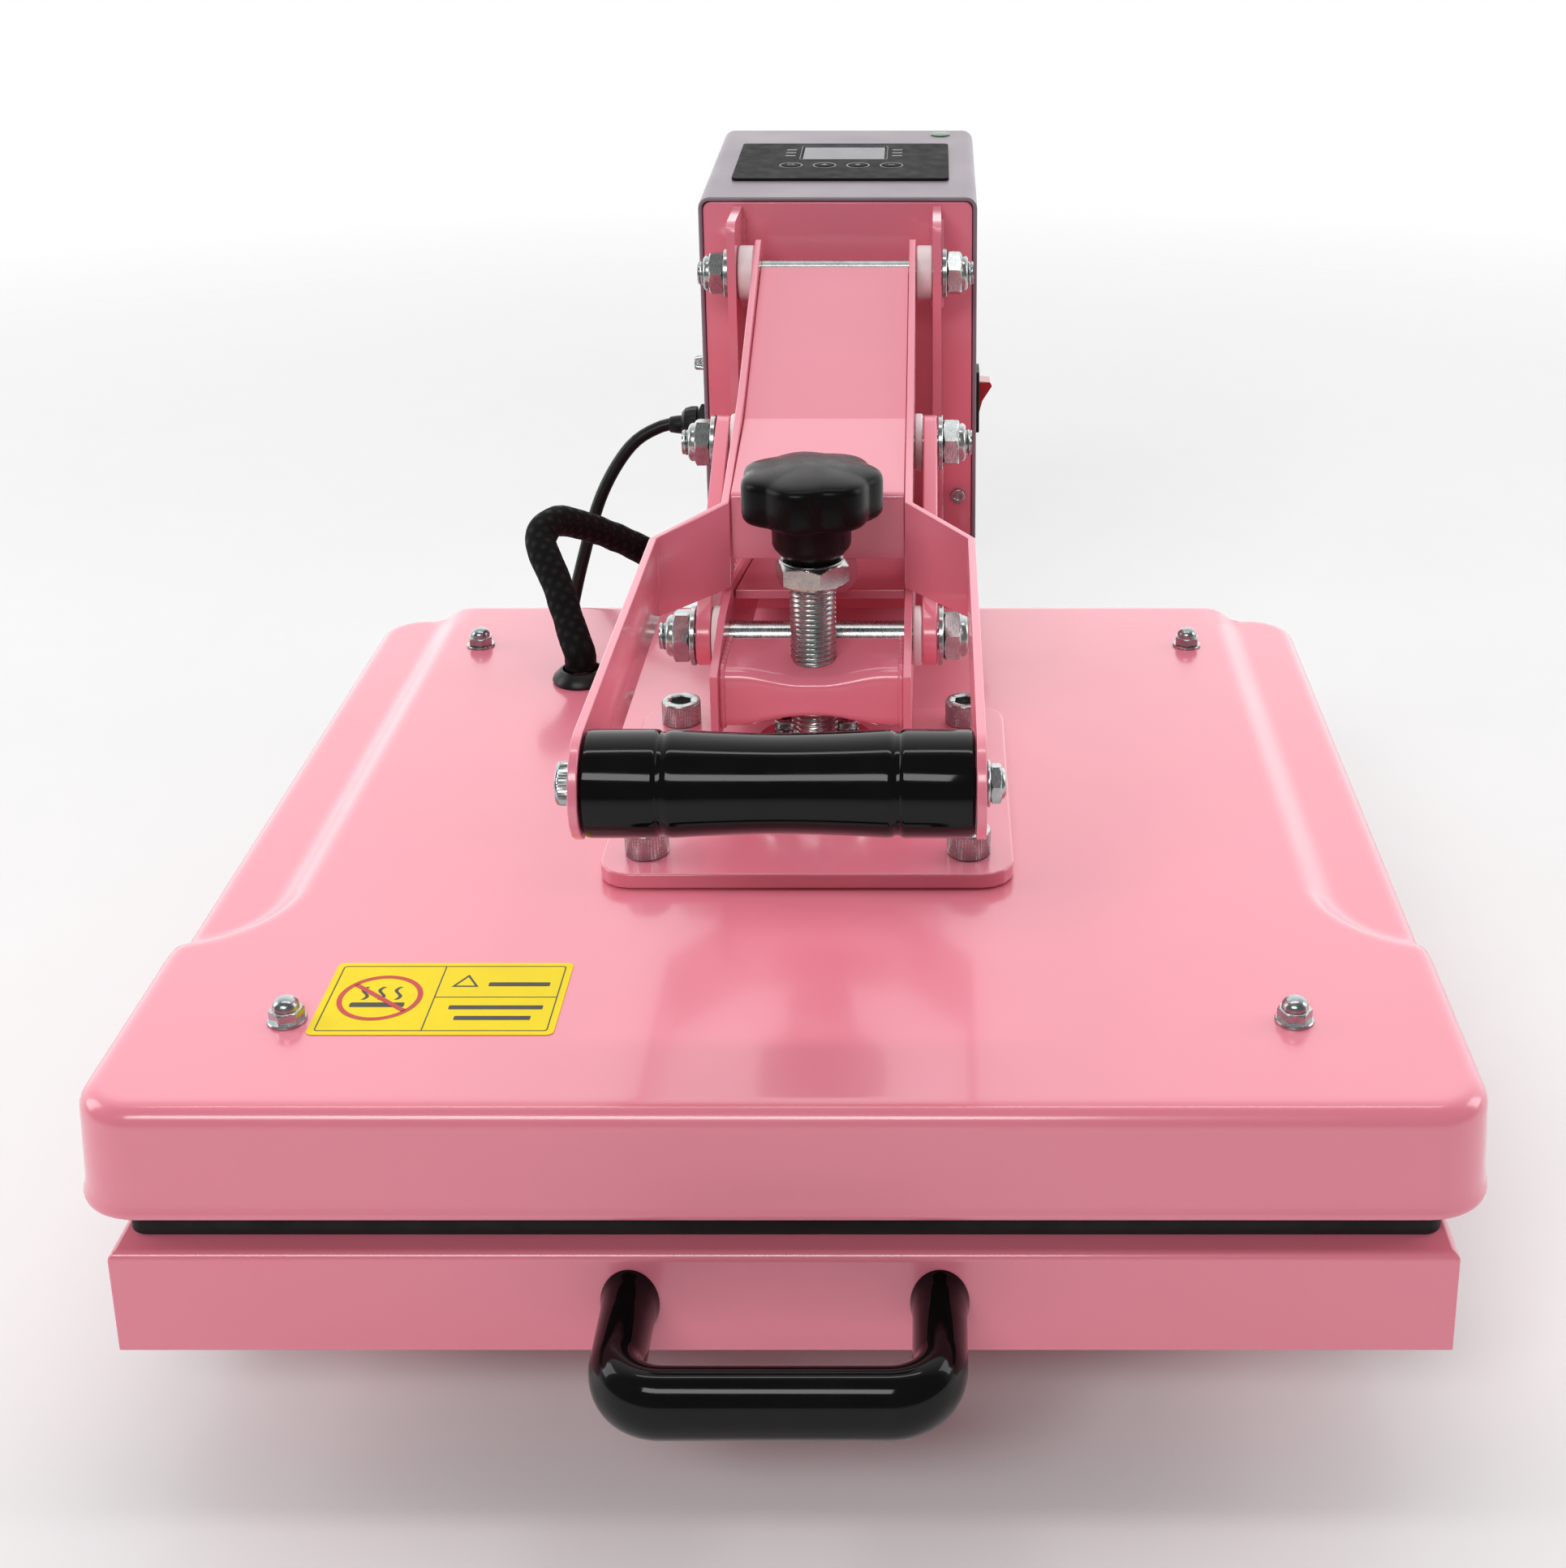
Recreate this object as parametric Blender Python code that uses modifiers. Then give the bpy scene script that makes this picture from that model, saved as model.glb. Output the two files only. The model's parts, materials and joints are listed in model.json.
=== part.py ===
"""Clamshell heat press, 38 x 38 cm, closed and locked.

Metres, +Z up. The front of the press faces -Y and it stands on z = 0, with the origin under
the middle of its box.
"""

import math

import bmesh
import bpy
from mathutils import Matrix, Vector

GAP = 0.0003

# Upper platen and its cover
LID_HALF = 0.2195
LID_FRONT = -0.2875
LID_REAR = 0.1425
LID_TOP = 0.137
LID_BOTTOM = 0.099
LID_EDGE = 0.0075
LID_CORNER = 0.020
LID_SHEET = 0.0016
SHELF_X = 0.180
SHELF_DROP = 0.007
SHELF_SLOPE = 0.014
SHELF_Y = LID_FRONT + 0.145
SHELF_ARC = 0.047
HEATER_HALF = 0.190
HEATER_THICK = 0.0237

# Lower platen, a drawer
TRAY_HALF = 0.2105
TRAY_DEPTH = 0.420
TRAY_TOP = 0.086
TRAY_BOTTOM = 0.050
TRAY_SHEET = 0.002
TRAY_PLATE = 0.006
PAD_INSET = (0.0035, 0.009)
PAD_TOP = 0.0920
PULL_HALF = 0.0485
PULL_REACH = 0.0445
PULL_Z = 0.068
PULL_OVAL = (0.0085, 0.0115)

# Base
RAIL_X = (0.110, 0.135)
RAIL_Z = (0.018, 0.039)
BASE_Y = (-0.205, 0.335)
BASE_HALF = 0.140
BASE_TOP = 0.0433
SLIDE_RAIL_X = (0.128, 0.138)
SLIDE_RAIL_REAR = 0.180
SLIDE_RAIL_TOP = 0.0736
SLIDE_RUNNER_X = (0.1383, 0.1455)
SLIDE_RUNNER_Z = (0.0512, 0.0797)

# Linkage pivots, as (y, z), from a straight toggle line through the three of them
LEVER_PIVOT = Vector((0.163, 0.297))
ARM_PIVOT = Vector((0.1645, 0.155))
LINK_FRONT = Vector((-0.0415, 0.194))
LEVER_CRANK = 0.1165
LINK_REAR = LEVER_PIVOT + (LINK_FRONT - LEVER_PIVOT).normalized() * LEVER_CRANK
PIN_R = 0.006
PIN_HOLE = PIN_R + GAP

# Stack of plates across the linkage, as distances from the middle
INNER_X = (0.035, 0.038)
LINK_X = (0.042, 0.048)
CHEEK_X = (0.046, 0.050)
LEVER_ARM_X = 0.0595
LEVER_SHEET = 0.003

GRIP = Vector((-0.2545, 0.231))
GRIP_R = 0.0165
NUT_AF = 0.019
NUT_HALF = 0.005

# Pressure screw
SCREW_Y = -0.0715
SCREW_R = 0.009
SCREW_LOW = 0.1445
NUT_Z = (0.2283, 0.2375)
NUT_FLATS = 0.0255
STAR_R = 0.0283
STAR_VALLEY = 0.0032
HUB_R = 0.0153
STAR_LOBES = 7
STAR_Z = (0.2378, 0.2553, 0.2740)

# Control box on the column
BOX_HALF = 0.0675
BOX_Y = (0.1905, 0.3405)
BOX_BOTTOM = BASE_TOP + GAP
BOX_TOP = (0.328, 0.337)
BOX_CORNER = 0.0055
BOX_SHEET = 0.002
MAST_SHEET = 0.004
MAST_CORNER = 0.0038
CHEEK_Y = 0.146
CHEEK_Z = (0.132, 0.324)
CHEEK_CORNER = 0.006
PANEL_SIZE = (0.108, 0.078)
PANEL_Y = 0.2625
KEY_X = (-0.026, -0.009, 0.008, 0.025)
KEY_Y = -0.011
KEY_R = 0.0044
DISPLAY = (0.042, 0.0275, 0.017)
SWITCH = Vector((BOX_HALF, 0.2355, 0.215))

# Cords
CORD_R = 0.00325
GLAND = Vector((-BOX_HALF, 0.2245, 0.204))
COIL = Vector((-0.202, 0.232, 0.0))
COIL_TURN_R = (0.0325, 0.039, 0.0455)
SLEEVE_R = 0.007
GROMMET = Vector((-0.111, 0.0475, LID_TOP))


def clear_scene():
    for obj in list(bpy.data.objects):
        bpy.data.objects.remove(obj)


def new_collection(name):
    made = bpy.data.collections.new(name)
    bpy.context.scene.collection.children.link(made)
    return made


clear_scene()
PARTS = new_collection("heat_press")
CUTTERS = new_collection("heat_press_cutters")


def material(name, colour, metallic, roughness):
    made = bpy.data.materials.new(name)
    made.use_nodes = True
    shader = made.node_tree.nodes["Principled BSDF"]
    shader.inputs["Base Color"].default_value = (*colour, 1.0)
    shader.inputs["Metallic"].default_value = metallic
    shader.inputs["Roughness"].default_value = roughness
    return made


PINK = material("pink_enamel", (0.87, 0.42, 0.50), 0.0, 0.30)
LILAC = material("lilac_enamel", (0.72, 0.62, 0.70), 0.0, 0.35)
STEEL = material("zinc_steel", (0.62, 0.62, 0.62), 1.0, 0.28)
CHROME = material("chrome", (0.80, 0.80, 0.80), 1.0, 0.10)
ALUMINIUM = material("aluminium", (0.72, 0.72, 0.73), 1.0, 0.35)
BLACK_GLOSS = material("black_gloss_plastic", (0.008, 0.008, 0.009), 0.0, 0.12)
BLACK_MATT = material("black_matt_plastic", (0.012, 0.012, 0.013), 0.0, 0.45)
RUBBER = material("black_rubber", (0.015, 0.015, 0.015), 0.0, 0.75)
SILICONE = material("black_silicone", (0.010, 0.010, 0.010), 0.0, 0.60)
NYLON = material("white_nylon", (0.80, 0.80, 0.76), 0.0, 0.45)
OVERLAY = material("panel_film", (0.020, 0.022, 0.025), 0.0, 0.40)
DISPLAY_GREY = material("display_grey", (0.20, 0.20, 0.21), 0.0, 0.15)
RED = material("red_rocker", (0.55, 0.010, 0.012), 0.0, 0.20)
WOOL = material("insulation", (0.55, 0.52, 0.45), 0.0, 0.95)
BOARD = material("circuit_board", (0.02, 0.16, 0.06), 0.0, 0.50)
BRAID = material("black_braid", (0.012, 0.012, 0.012), 0.0, 0.80)


def pivot(name, location, rotation=(0, 0, 0)):
    """An empty on a joint's axis, which its moving pieces are parented to."""
    made = bpy.data.objects.new(name, None)
    made.location = location
    made.rotation_euler = rotation
    made.empty_display_size = 0.02
    PARTS.objects.link(made)
    return made


def under(parent, *children):
    """Parents pieces that are already placed in world space."""
    placed = Matrix.LocRotScale(parent.location, parent.rotation_euler, None)
    for child in children:
        child.parent = parent
        child.matrix_parent_inverse = placed.inverted()


def add(name, data, finish, group=None):
    made = bpy.data.objects.new(name, data)
    data.materials.append(finish)
    (group or PARTS).objects.link(made)
    return made


def from_bmesh(name, bm, finish, group=None, smooth=True):
    bmesh.ops.recalc_face_normals(bm, faces=bm.faces)
    data = bpy.data.meshes.new(name)
    bm.to_mesh(data)
    bm.free()
    if smooth:
        data.shade_smooth()
        data.set_sharp_from_angle(angle=math.radians(35))
    return add(name, data, finish, group)


def box(name, low, high, finish, bevel=0.0, group=None):
    low, high = Vector(low), Vector(high)
    bm = bmesh.new()
    bmesh.ops.create_cube(bm, size=1.0)
    bmesh.ops.scale(bm, vec=high - low, verts=bm.verts)
    made = from_bmesh(name, bm, finish, group, smooth=False)
    made.location = (low + high) / 2
    if bevel:
        edge = made.modifiers.new("edges", "BEVEL")
        edge.width = bevel
        edge.segments = 2
    return made


def cylinder(name, radius, low, high, finish, axis="Z", centre=(0, 0, 0), sides=32, group=None):
    """A closed prism of any number of sides from low to high along an axis."""
    bm = bmesh.new()
    bmesh.ops.create_cone(
        bm, cap_ends=True, segments=sides, radius1=radius, radius2=radius, depth=high - low
    )
    made = from_bmesh(name, bm, finish, group)
    along = {"X": Vector((1, 0, 0)), "Y": Vector((0, 1, 0)), "Z": Vector((0, 0, 1))}[axis]
    made.rotation_euler = along.to_track_quat("Z", "Y").to_euler()
    made.location = Vector(centre) + along * (low + high) / 2
    return made


def turned(name, profile, finish, location, axis="Z", steps=28, ring=False):
    """A profile of (radius, height), run down its outer side, turned round an axis."""
    data = bpy.data.meshes.new(name)
    edges = [(i, i + 1) for i in range(len(profile) - 1)]
    if ring:
        edges.append((len(profile) - 1, 0))
    data.from_pydata([(r, 0, h) for r, h in profile], edges, [])
    made = add(name, data, finish)
    screw = made.modifiers.new("turn", "SCREW")
    screw.steps = steps
    screw.render_steps = steps
    screw.use_merge_vertices = True
    screw.merge_threshold = 0.00002
    made.location = location
    if axis == "X":
        made.rotation_euler = (0, math.pi / 2, 0)
    return made


def loft(name, rings, finish, group=None):
    """Closed skin over rings of equally many points, with a flat cap at each end."""
    bm = bmesh.new()
    rows = [[bm.verts.new(p) for p in ring] for ring in rings]
    count = len(rings[0])
    for one, two in zip(rows, rows[1:]):
        for i in range(count):
            j = (i + 1) % count
            bm.faces.new((one[i], one[j], two[j], two[i]))
    bm.faces.new(rows[0])
    bm.faces.new(rows[-1])
    return from_bmesh(name, bm, finish, group)


def arc(centre, radius, start, stop, count):
    """Points on a circle, from one angle to another in degrees."""
    turns = [math.radians(start + (stop - start) * i / (count - 1)) for i in range(count)]
    return [Vector((centre[0] + radius * math.cos(t), centre[1] + radius * math.sin(t))) for t in turns]


def circle(centre, radius, count=24):
    return arc(centre, radius, 0, 360 - 360 / count, count)


def rounded_rectangle(low, high, radius, count=5):
    (x0, y0), (x1, y1) = low, high
    right, left = x1 - radius, x0 + radius
    top, bottom = y1 - radius, y0 + radius
    corners = ((right, top), (left, top), (left, bottom), (right, bottom))
    points = []
    for quarter, centre in enumerate(corners):
        points += arc(centre, radius, 90 * quarter, 90 * quarter + 90, count)
    return points


def sheet(name, outlines, thickness, finish, location=(0, 0, 0), rotation=(0, 0, 0)):
    """A flat plate: the first outline is its edge and the others are holes."""
    data = bpy.data.curves.new(name, "CURVE")
    data.dimensions = "2D"
    data.fill_mode = "BOTH"
    data.extrude = thickness / 2
    for outline in outlines:
        spline = data.splines.new("POLY")
        spline.points.add(len(outline) - 1)
        for point, place in zip(spline.points, outline):
            point.co = (place[0], place[1], 0, 1)
        spline.use_cyclic_u = True
    made = add(name, data, finish)
    made.location = location
    made.rotation_euler = rotation
    return made


UPRIGHT = (math.pi / 2, 0, math.pi / 2)


def side_plate(name, outlines, x_range, side, finish):
    """A plate that stands along Y, with its outline as (y, z), on the +1 or -1 side."""
    middle = side * sum(x_range) / 2
    return sheet(name, outlines, x_range[1] - x_range[0], finish, (middle, 0, 0), UPRIGHT)


def combine(obj, others, operation):
    """Cuts others from a piece or joins them to it. They go to the cutters' collection."""
    for other in others:
        step = obj.modifiers.new(operation.lower(), "BOOLEAN")
        step.operation = operation
        step.solver = "EXACT"
        step.object = other
        for group in list(other.users_collection):
            group.objects.unlink(other)
        CUTTERS.objects.link(other)
        other.hide_render = True
        other.display_type = "WIRE"


def route(points, count):
    """Evenly spaced points on a smooth curve through the given ones."""
    ends = [2 * points[0] - points[1], *points, 2 * points[-1] - points[-2]]
    fine = []
    for a, b, c, d in zip(ends, ends[1:], ends[2:], ends[3:]):
        for i in range(20):
            t = i / 20
            square = (2 * a - 5 * b + 4 * c - d) * t**2
            cube = (3 * b - a - 3 * c + d) * t**3
            fine.append(0.5 * (2 * b + (c - a) * t + square + cube))
    fine.append(points[-1])
    runs = [0.0]
    for a, b in zip(fine, fine[1:]):
        runs.append(runs[-1] + (b - a).length)
    spaced = []
    k = 0
    for i in range(count):
        target = runs[-1] * i / (count - 1)
        while k < len(runs) - 2 and runs[k + 1] < target:
            k += 1
        share = (target - runs[k]) / max(runs[k + 1] - runs[k], 1e-9)
        spaced.append(fine[k].lerp(fine[k + 1], min(share, 1.0)))
    return spaced


def tube(name, points, radius, finish, resolution=2):
    data = bpy.data.curves.new(name, "CURVE")
    data.dimensions = "3D"
    data.bevel_depth = radius
    data.bevel_resolution = resolution
    data.use_fill_caps = True
    spline = data.splines.new("POLY")
    spline.points.add(len(points) - 1)
    for point, place in zip(spline.points, points):
        point.co = (*place, 1)
    return add(name, data, finish)


def cross_bolt(name, at, stack, finish, tip):
    """A bolt along X through a pivot: stack lists (radius, outer end) from the middle out."""
    profile = [(0.0, tip), (PIN_R - 0.0015, tip), (PIN_R, tip - 0.0015)]
    for radius, end in reversed(stack):
        if radius != profile[-1][0]:
            profile.append((profile[-1][0], end))
            profile.append((radius, end))
    mirrored = [(r, -h) for r, h in reversed(profile)]
    return turned(name, profile + mirrored, finish, (0, at.x, at.y), axis="X", steps=24)


def hex_nut(name, low, high, flats, centre, axis, finish):
    return cylinder(name, flats / math.sqrt(3), low, high, finish, axis, centre, sides=6)


def pivot_nut(name, at, x):
    """A lock nut on a cross bolt, with its middle at x."""
    return hex_nut(name, x - NUT_HALF, x + NUT_HALF, NUT_AF, (0, *at), "X", STEEL)


# ---------------------------------------------------------------- base


def make_base():
    box("base_plate", (-BASE_HALF, BASE_Y[0], RAIL_Z[1] + GAP), (BASE_HALF, BASE_Y[1], BASE_TOP), PINK)
    for side, word in ((-1, "left"), (1, "right")):
        xs = sorted((side * RAIL_X[0], side * RAIL_X[1]))
        box(f"base_rail_{word}", (xs[0], BASE_Y[0], RAIL_Z[0]), (xs[1], BASE_Y[1], RAIL_Z[1]), PINK, 0.002)
        for end, where in ((BASE_Y[0] + 0.02, "front"), (BASE_Y[1] - 0.02, "rear")):
            profile = ((0, 0.0177), (0.0115, 0.0177), (0.0155, 0.002), (0.0135, 0.0), (0, 0.0))
            turned(f"foot_{where}_{word}", profile, RUBBER, (side * sum(RAIL_X) / 2, end, 0), steps=20)
        fixed = sorted(side * x for x in SLIDE_RAIL_X)
        low = (fixed[0], BASE_Y[0], BASE_TOP + GAP)
        high = (fixed[1], SLIDE_RAIL_REAR, SLIDE_RAIL_TOP)
        box(f"slide_rail_{word}", low, high, STEEL, 0.001)


# ---------------------------------------------------------------- lower platen


def pull_handle_path():
    """Middle line of the U handle, from one end on the tray to the other."""
    bend = 0.015
    front = LID_FRONT - PULL_REACH
    start = [Vector((-PULL_HALF, LID_FRONT - GAP)), Vector((-PULL_HALF, LID_FRONT - 0.014))]
    left = arc((-PULL_HALF + bend, front + bend), bend, 180, 270, 6)
    right = arc((PULL_HALF - bend, front + bend), bend, 270, 360, 6)
    stop = [Vector((PULL_HALF, LID_FRONT - 0.014)), Vector((PULL_HALF, LID_FRONT - GAP))]
    return start + left + right + stop


def make_drawer():
    rear = LID_FRONT + TRAY_DEPTH
    tray = box("drawer_tray", (-TRAY_HALF, LID_FRONT, TRAY_BOTTOM), (TRAY_HALF, rear, TRAY_TOP), PINK)
    hollow_low = (-TRAY_HALF + TRAY_SHEET, LID_FRONT + TRAY_SHEET, TRAY_BOTTOM - 0.01)
    hollow_high = (TRAY_HALF - TRAY_SHEET, rear + 0.01, TRAY_TOP - TRAY_PLATE)
    combine(tray, [box("tray_hollow", hollow_low, hollow_high, PINK)], "DIFFERENCE")
    across, along = PAD_INSET
    pad_low = (-TRAY_HALF + across, LID_FRONT + along, TRAY_TOP + GAP)
    pad = box("silicone_pad", pad_low, (TRAY_HALF - across, rear - along, PAD_TOP), SILICONE, 0.0012)
    path = pull_handle_path()
    oval = [Vector((PULL_OVAL[0] * p.x, PULL_OVAL[1] * p.y)) for p in circle((0, 0), 1, 14)]
    rings = []
    for i, place in enumerate(path):
        ahead = path[min(i + 1, len(path) - 1)] - path[max(i - 1, 0)]
        aside = Vector((ahead.y, -ahead.x)).normalized()
        rings.append([(*(place + aside * p.x), PULL_Z + p.y) for p in oval])
    pull = loft("pull_handle", rings, BLACK_GLOSS)
    slide = pivot("drawer_slide_axis", (0, LID_FRONT, TRAY_BOTTOM))
    under(slide, tray, pad, pull)
    for side, word in ((-1, "left"), (1, "right")):
        xs = sorted(side * x for x in SLIDE_RUNNER_X)
        low = (xs[0], LID_FRONT + 0.004, SLIDE_RUNNER_Z[0])
        high = (xs[1], rear - 0.002, SLIDE_RUNNER_Z[1])
        under(slide, box(f"slide_runner_{word}", low, high, STEEL, 0.001))


# ---------------------------------------------------------------- upper platen


def lid_ring(inset, z):
    radius = max(LID_CORNER - inset, 0.001)
    low = (-LID_HALF + inset, LID_FRONT + inset)
    high = (LID_HALF - inset, LID_REAR - inset)
    return [(p.x, p.y, z) for p in rounded_rectangle(low, high, radius, 6)]


def shelf_ring(side, shift, z):
    """Plan outline of the lowered side shelf; shift moves its inner edge outwards down the slope."""
    centre = Vector((SHELF_X + SHELF_ARC, SHELF_Y))
    outline = [Vector((0.235, LID_REAR + 0.01)), Vector((SHELF_X + shift, LID_REAR + 0.01))]
    outline += arc(centre, SHELF_ARC - shift, 180, 270, 8)
    outline.append(Vector((0.235, SHELF_Y - SHELF_ARC + shift)))
    return [(side * p.x, p.y, z) for p in outline]


def make_lid():
    rings = [lid_ring(0.0, LID_BOTTOM), lid_ring(0.0, LID_TOP - LID_EDGE)]
    for k in range(1, 5):
        turn = k * math.pi / 8
        rings.append(lid_ring(LID_EDGE * (1 - math.cos(turn)), LID_TOP - LID_EDGE * (1 - math.sin(turn))))
    lid = loft("lid_cover", rings, PINK)
    rise = 0.002
    cutters = []
    for side, word in ((-1, "left"), (1, "right")):
        high = shelf_ring(side, -rise * SHELF_SLOPE / SHELF_DROP, LID_TOP + rise)
        low = shelf_ring(side, SHELF_SLOPE, LID_TOP - SHELF_DROP)
        cutters.append(loft(f"shelf_{word}", [high, low], PINK))
    inner = LID_HALF - LID_SHEET
    cutters.append(
        box(
            "lid_hollow",
            (-inner, LID_FRONT + LID_SHEET, LID_BOTTOM - 0.01),
            (inner, LID_REAR - LID_SHEET, LID_TOP - SHELF_DROP - LID_SHEET),
            PINK,
        )
    )
    cutters.append(
        box(
            "lid_hollow_middle",
            (-SHELF_X + 0.004, LID_FRONT + 0.010, LID_BOTTOM),
            (SHELF_X - 0.004, LID_REAR - 0.010, LID_TOP - LID_SHEET),
            PINK,
        )
    )
    combine(lid, cutters, "DIFFERENCE")
    return lid


def make_platen():
    lid = make_lid()
    heat_low = PAD_TOP + GAP
    middle_y = (LID_FRONT + LID_REAR) / 2
    heater = box(
        "heating_plate",
        (-HEATER_HALF, middle_y - HEATER_HALF, heat_low),
        (HEATER_HALF, middle_y + HEATER_HALF, heat_low + HEATER_THICK),
        ALUMINIUM,
        0.001,
    )
    wool = box(
        "insulation_blanket",
        (-0.1755, middle_y - 0.1755, heat_low + HEATER_THICK + GAP),
        (0.1755, middle_y + 0.1755, LID_TOP - LID_SHEET - GAP),
        WOOL,
    )
    plate = rounded_rectangle((-0.076, SCREW_Y - 0.076), (0.076, SCREW_Y + 0.076), 0.012)
    mount = sheet("mount_plate", [plate], 0.006, PINK, (0, 0, LID_TOP + GAP + 0.003))
    low = LID_TOP + 2 * GAP + 0.006
    block = ((0.030, 0.1540), (0.030, low), (0.0125, low), (0.0125, 0.1540))
    bearing = turned("bearing_block", block, STEEL, (0, SCREW_Y, 0), ring=True)
    disc = ((0.0232, 0.1620), (0.0240, 0.1612), (0.0240, 0.1543), (0.0095, 0.1543), (0.0095, 0.1620))
    retainer = turned("retainer_disc", disc, CHROME, (0, SCREW_Y, 0), ring=True)
    rubber = ((0.0095, 0.005), (0.0115, 0.0035), (0.0120, GAP), (0.0074, GAP), (0.0074, 0.005))
    grommet = turned("harness_grommet", rubber, RUBBER, GROMMET, steps=20, ring=True)
    platen = pivot("platen_slide_axis", (0, SCREW_Y, LID_TOP))
    under(platen, lid, heater, wool, mount, bearing, retainer, grommet)


def star_outline():
    """Star of round lobes with shallow valleys between them."""
    points = []
    count = STAR_LOBES * 8
    for i in range(count):
        turn = math.tau * i / count
        wave = 0.5 + 0.5 * math.cos(STAR_LOBES * turn)
        radius = STAR_R - STAR_VALLEY * (1 - wave**0.6)
        points.append(Vector((radius * math.cos(turn), radius * math.sin(turn))))
    return points


def make_screw():
    top = NUT_Z[0] + 0.0012
    shaft = [(0, top), (SCREW_R, top), (SCREW_R, 0.1540)]
    shaft += [(0.0120, 0.1540), (0.0120, SCREW_LOW), (0, SCREW_LOW)]
    screw = turned("pressure_screw", shaft, STEEL, (0, SCREW_Y, 0))
    nut = hex_nut("screw_nut", NUT_Z[0], NUT_Z[1], NUT_FLATS, (0, SCREW_Y, 0), "Z", STEEL)
    combine(screw, [nut], "UNION")
    star = star_outline()
    low, middle, high = STAR_Z
    edge = 0.0022
    sections = [(0.93, middle), (1.0, middle + edge), (1.0, high - 1.6 * edge)]
    sections += [(0.95, high - 0.6 * edge), (0.80, high)]
    rings = [[(p.x * scale, p.y * scale + SCREW_Y, z) for p in star] for scale, z in sections]
    knob = loft("star_knob", rings, BLACK_GLOSS)
    hub = cylinder("knob_hub", HUB_R, low, middle + 0.002, BLACK_GLOSS, centre=(0, SCREW_Y, 0), sides=28)
    combine(knob, [hub], "UNION")
    turn = pivot("knob_axis", (0, SCREW_Y, high))
    under(turn, screw, knob)


# ---------------------------------------------------------------- press arm


def make_arm():
    outline = [Vector((-0.0975, 0.1715)), Vector((0.100, 0.1560))]
    outline += arc(ARM_PIVOT, 0.014, -110, 78, 9)
    outline += [Vector((-0.020, 0.2095)), Vector((-0.060, 0.2085)), Vector((-0.0975, 0.1995))]
    holes = [circle(LINK_FRONT, PIN_HOLE), circle(ARM_PIVOT, PIN_HOLE)]
    turn = pivot("arm_axis", (0, ARM_PIVOT.x, ARM_PIVOT.y))
    for side, word in ((-1, "left"), (1, "right")):
        under(turn, side_plate(f"arm_plate_{word}", [outline, *holes], INNER_X, side, PINK))
    inner = INNER_X[0] - GAP
    top = [Vector((-0.020, 0.2015)), Vector((0.145, 0.1677))]
    top += [Vector((0.145, 0.1717)), Vector((-0.020, 0.2055))]
    bridge = sheet("arm_top_plate", [top], 2 * inner, PINK, (0, 0, 0), UPRIGHT)
    rings = []
    waist = [(-1, 0.012), (-0.72, 0.012), (-0.4, 0.0098), (0, 0.009)]
    waist += [(-x, half) for x, half in reversed(waist[:-1])]
    for x, half in waist:
        low, high = (SCREW_Y - 0.019, 0.187 - half), (SCREW_Y + 0.019, 0.187 + half)
        rings.append([(x * inner, p.x, p.y) for p in rounded_rectangle(low, high, 0.005, 3)])
    tie = loft("cross_tube", rings, PINK)
    bore = cylinder("screw_bore", SCREW_R + GAP, 0.16, 0.22, PINK, centre=(0, SCREW_Y, 0))
    combine(tie, [bore], "DIFFERENCE")
    ends = LINK_X[0] - GAP
    profile = ((0, ends), (0.012, ends), (0.012, INNER_X[1] + GAP), (PIN_R, INNER_X[1] + GAP))
    mirrored = tuple((r, -h) for r, h in reversed(profile))
    shaft = turned("arm_front_shaft", profile + mirrored, STEEL, (0, *LINK_FRONT), axis="X", steps=24)
    under(turn, bridge, tie, shaft)


# ---------------------------------------------------------------- lever and links


def edge_height(edge, y):
    """Height of a polyline of (y, z) at y, with its points in order of falling y."""
    for one, two in zip(edge, edge[1:]):
        if one[0] >= y >= two[0]:
            share = (one[0] - y) / (one[0] - two[0])
            return one[1] + (two[1] - one[1]) * share
    return edge[-1][1] if y < edge[-1][0] else edge[0][1]


LEVER_REAR_R = 0.016
LEVER_FRONT_R = 0.017
LEVER_TOP = ((0.163, 0.313), (0.0525, 0.268), (-0.0325, 0.2475), (-0.0675, 0.2445))
LEVER_TOP += ((GRIP.x, GRIP.y + LEVER_FRONT_R),)
LEVER_LOW = ((0.163, 0.281), (0.0585, 0.2290), (-0.0325, 0.211), (-0.0675, 0.212))
LEVER_LOW += ((GRIP.x, GRIP.y - LEVER_FRONT_R),)
LEVER_BENDS = (-0.0325, -0.0675)


def lever_station(y):
    """Inner x, lowest and highest z of a lever plate at y."""
    share = min(max((LEVER_BENDS[0] - y) / (LEVER_BENDS[0] - LEVER_BENDS[1]), 0.0), 1.0)
    x = INNER_X[0] + (LEVER_ARM_X - INNER_X[0]) * share
    low, high = edge_height(LEVER_LOW, y), edge_height(LEVER_TOP, y)
    ends = ((LEVER_PIVOT, LEVER_REAR_R, y > LEVER_PIVOT.x), (GRIP, LEVER_FRONT_R, y < GRIP.x))
    for centre, radius, outside in ends:
        if outside:
            half = math.sqrt(max(radius**2 - (y - centre.x) ** 2, 0.0009**2))
            low, high = centre.y - half, centre.y + half
    return x, low, high


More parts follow.
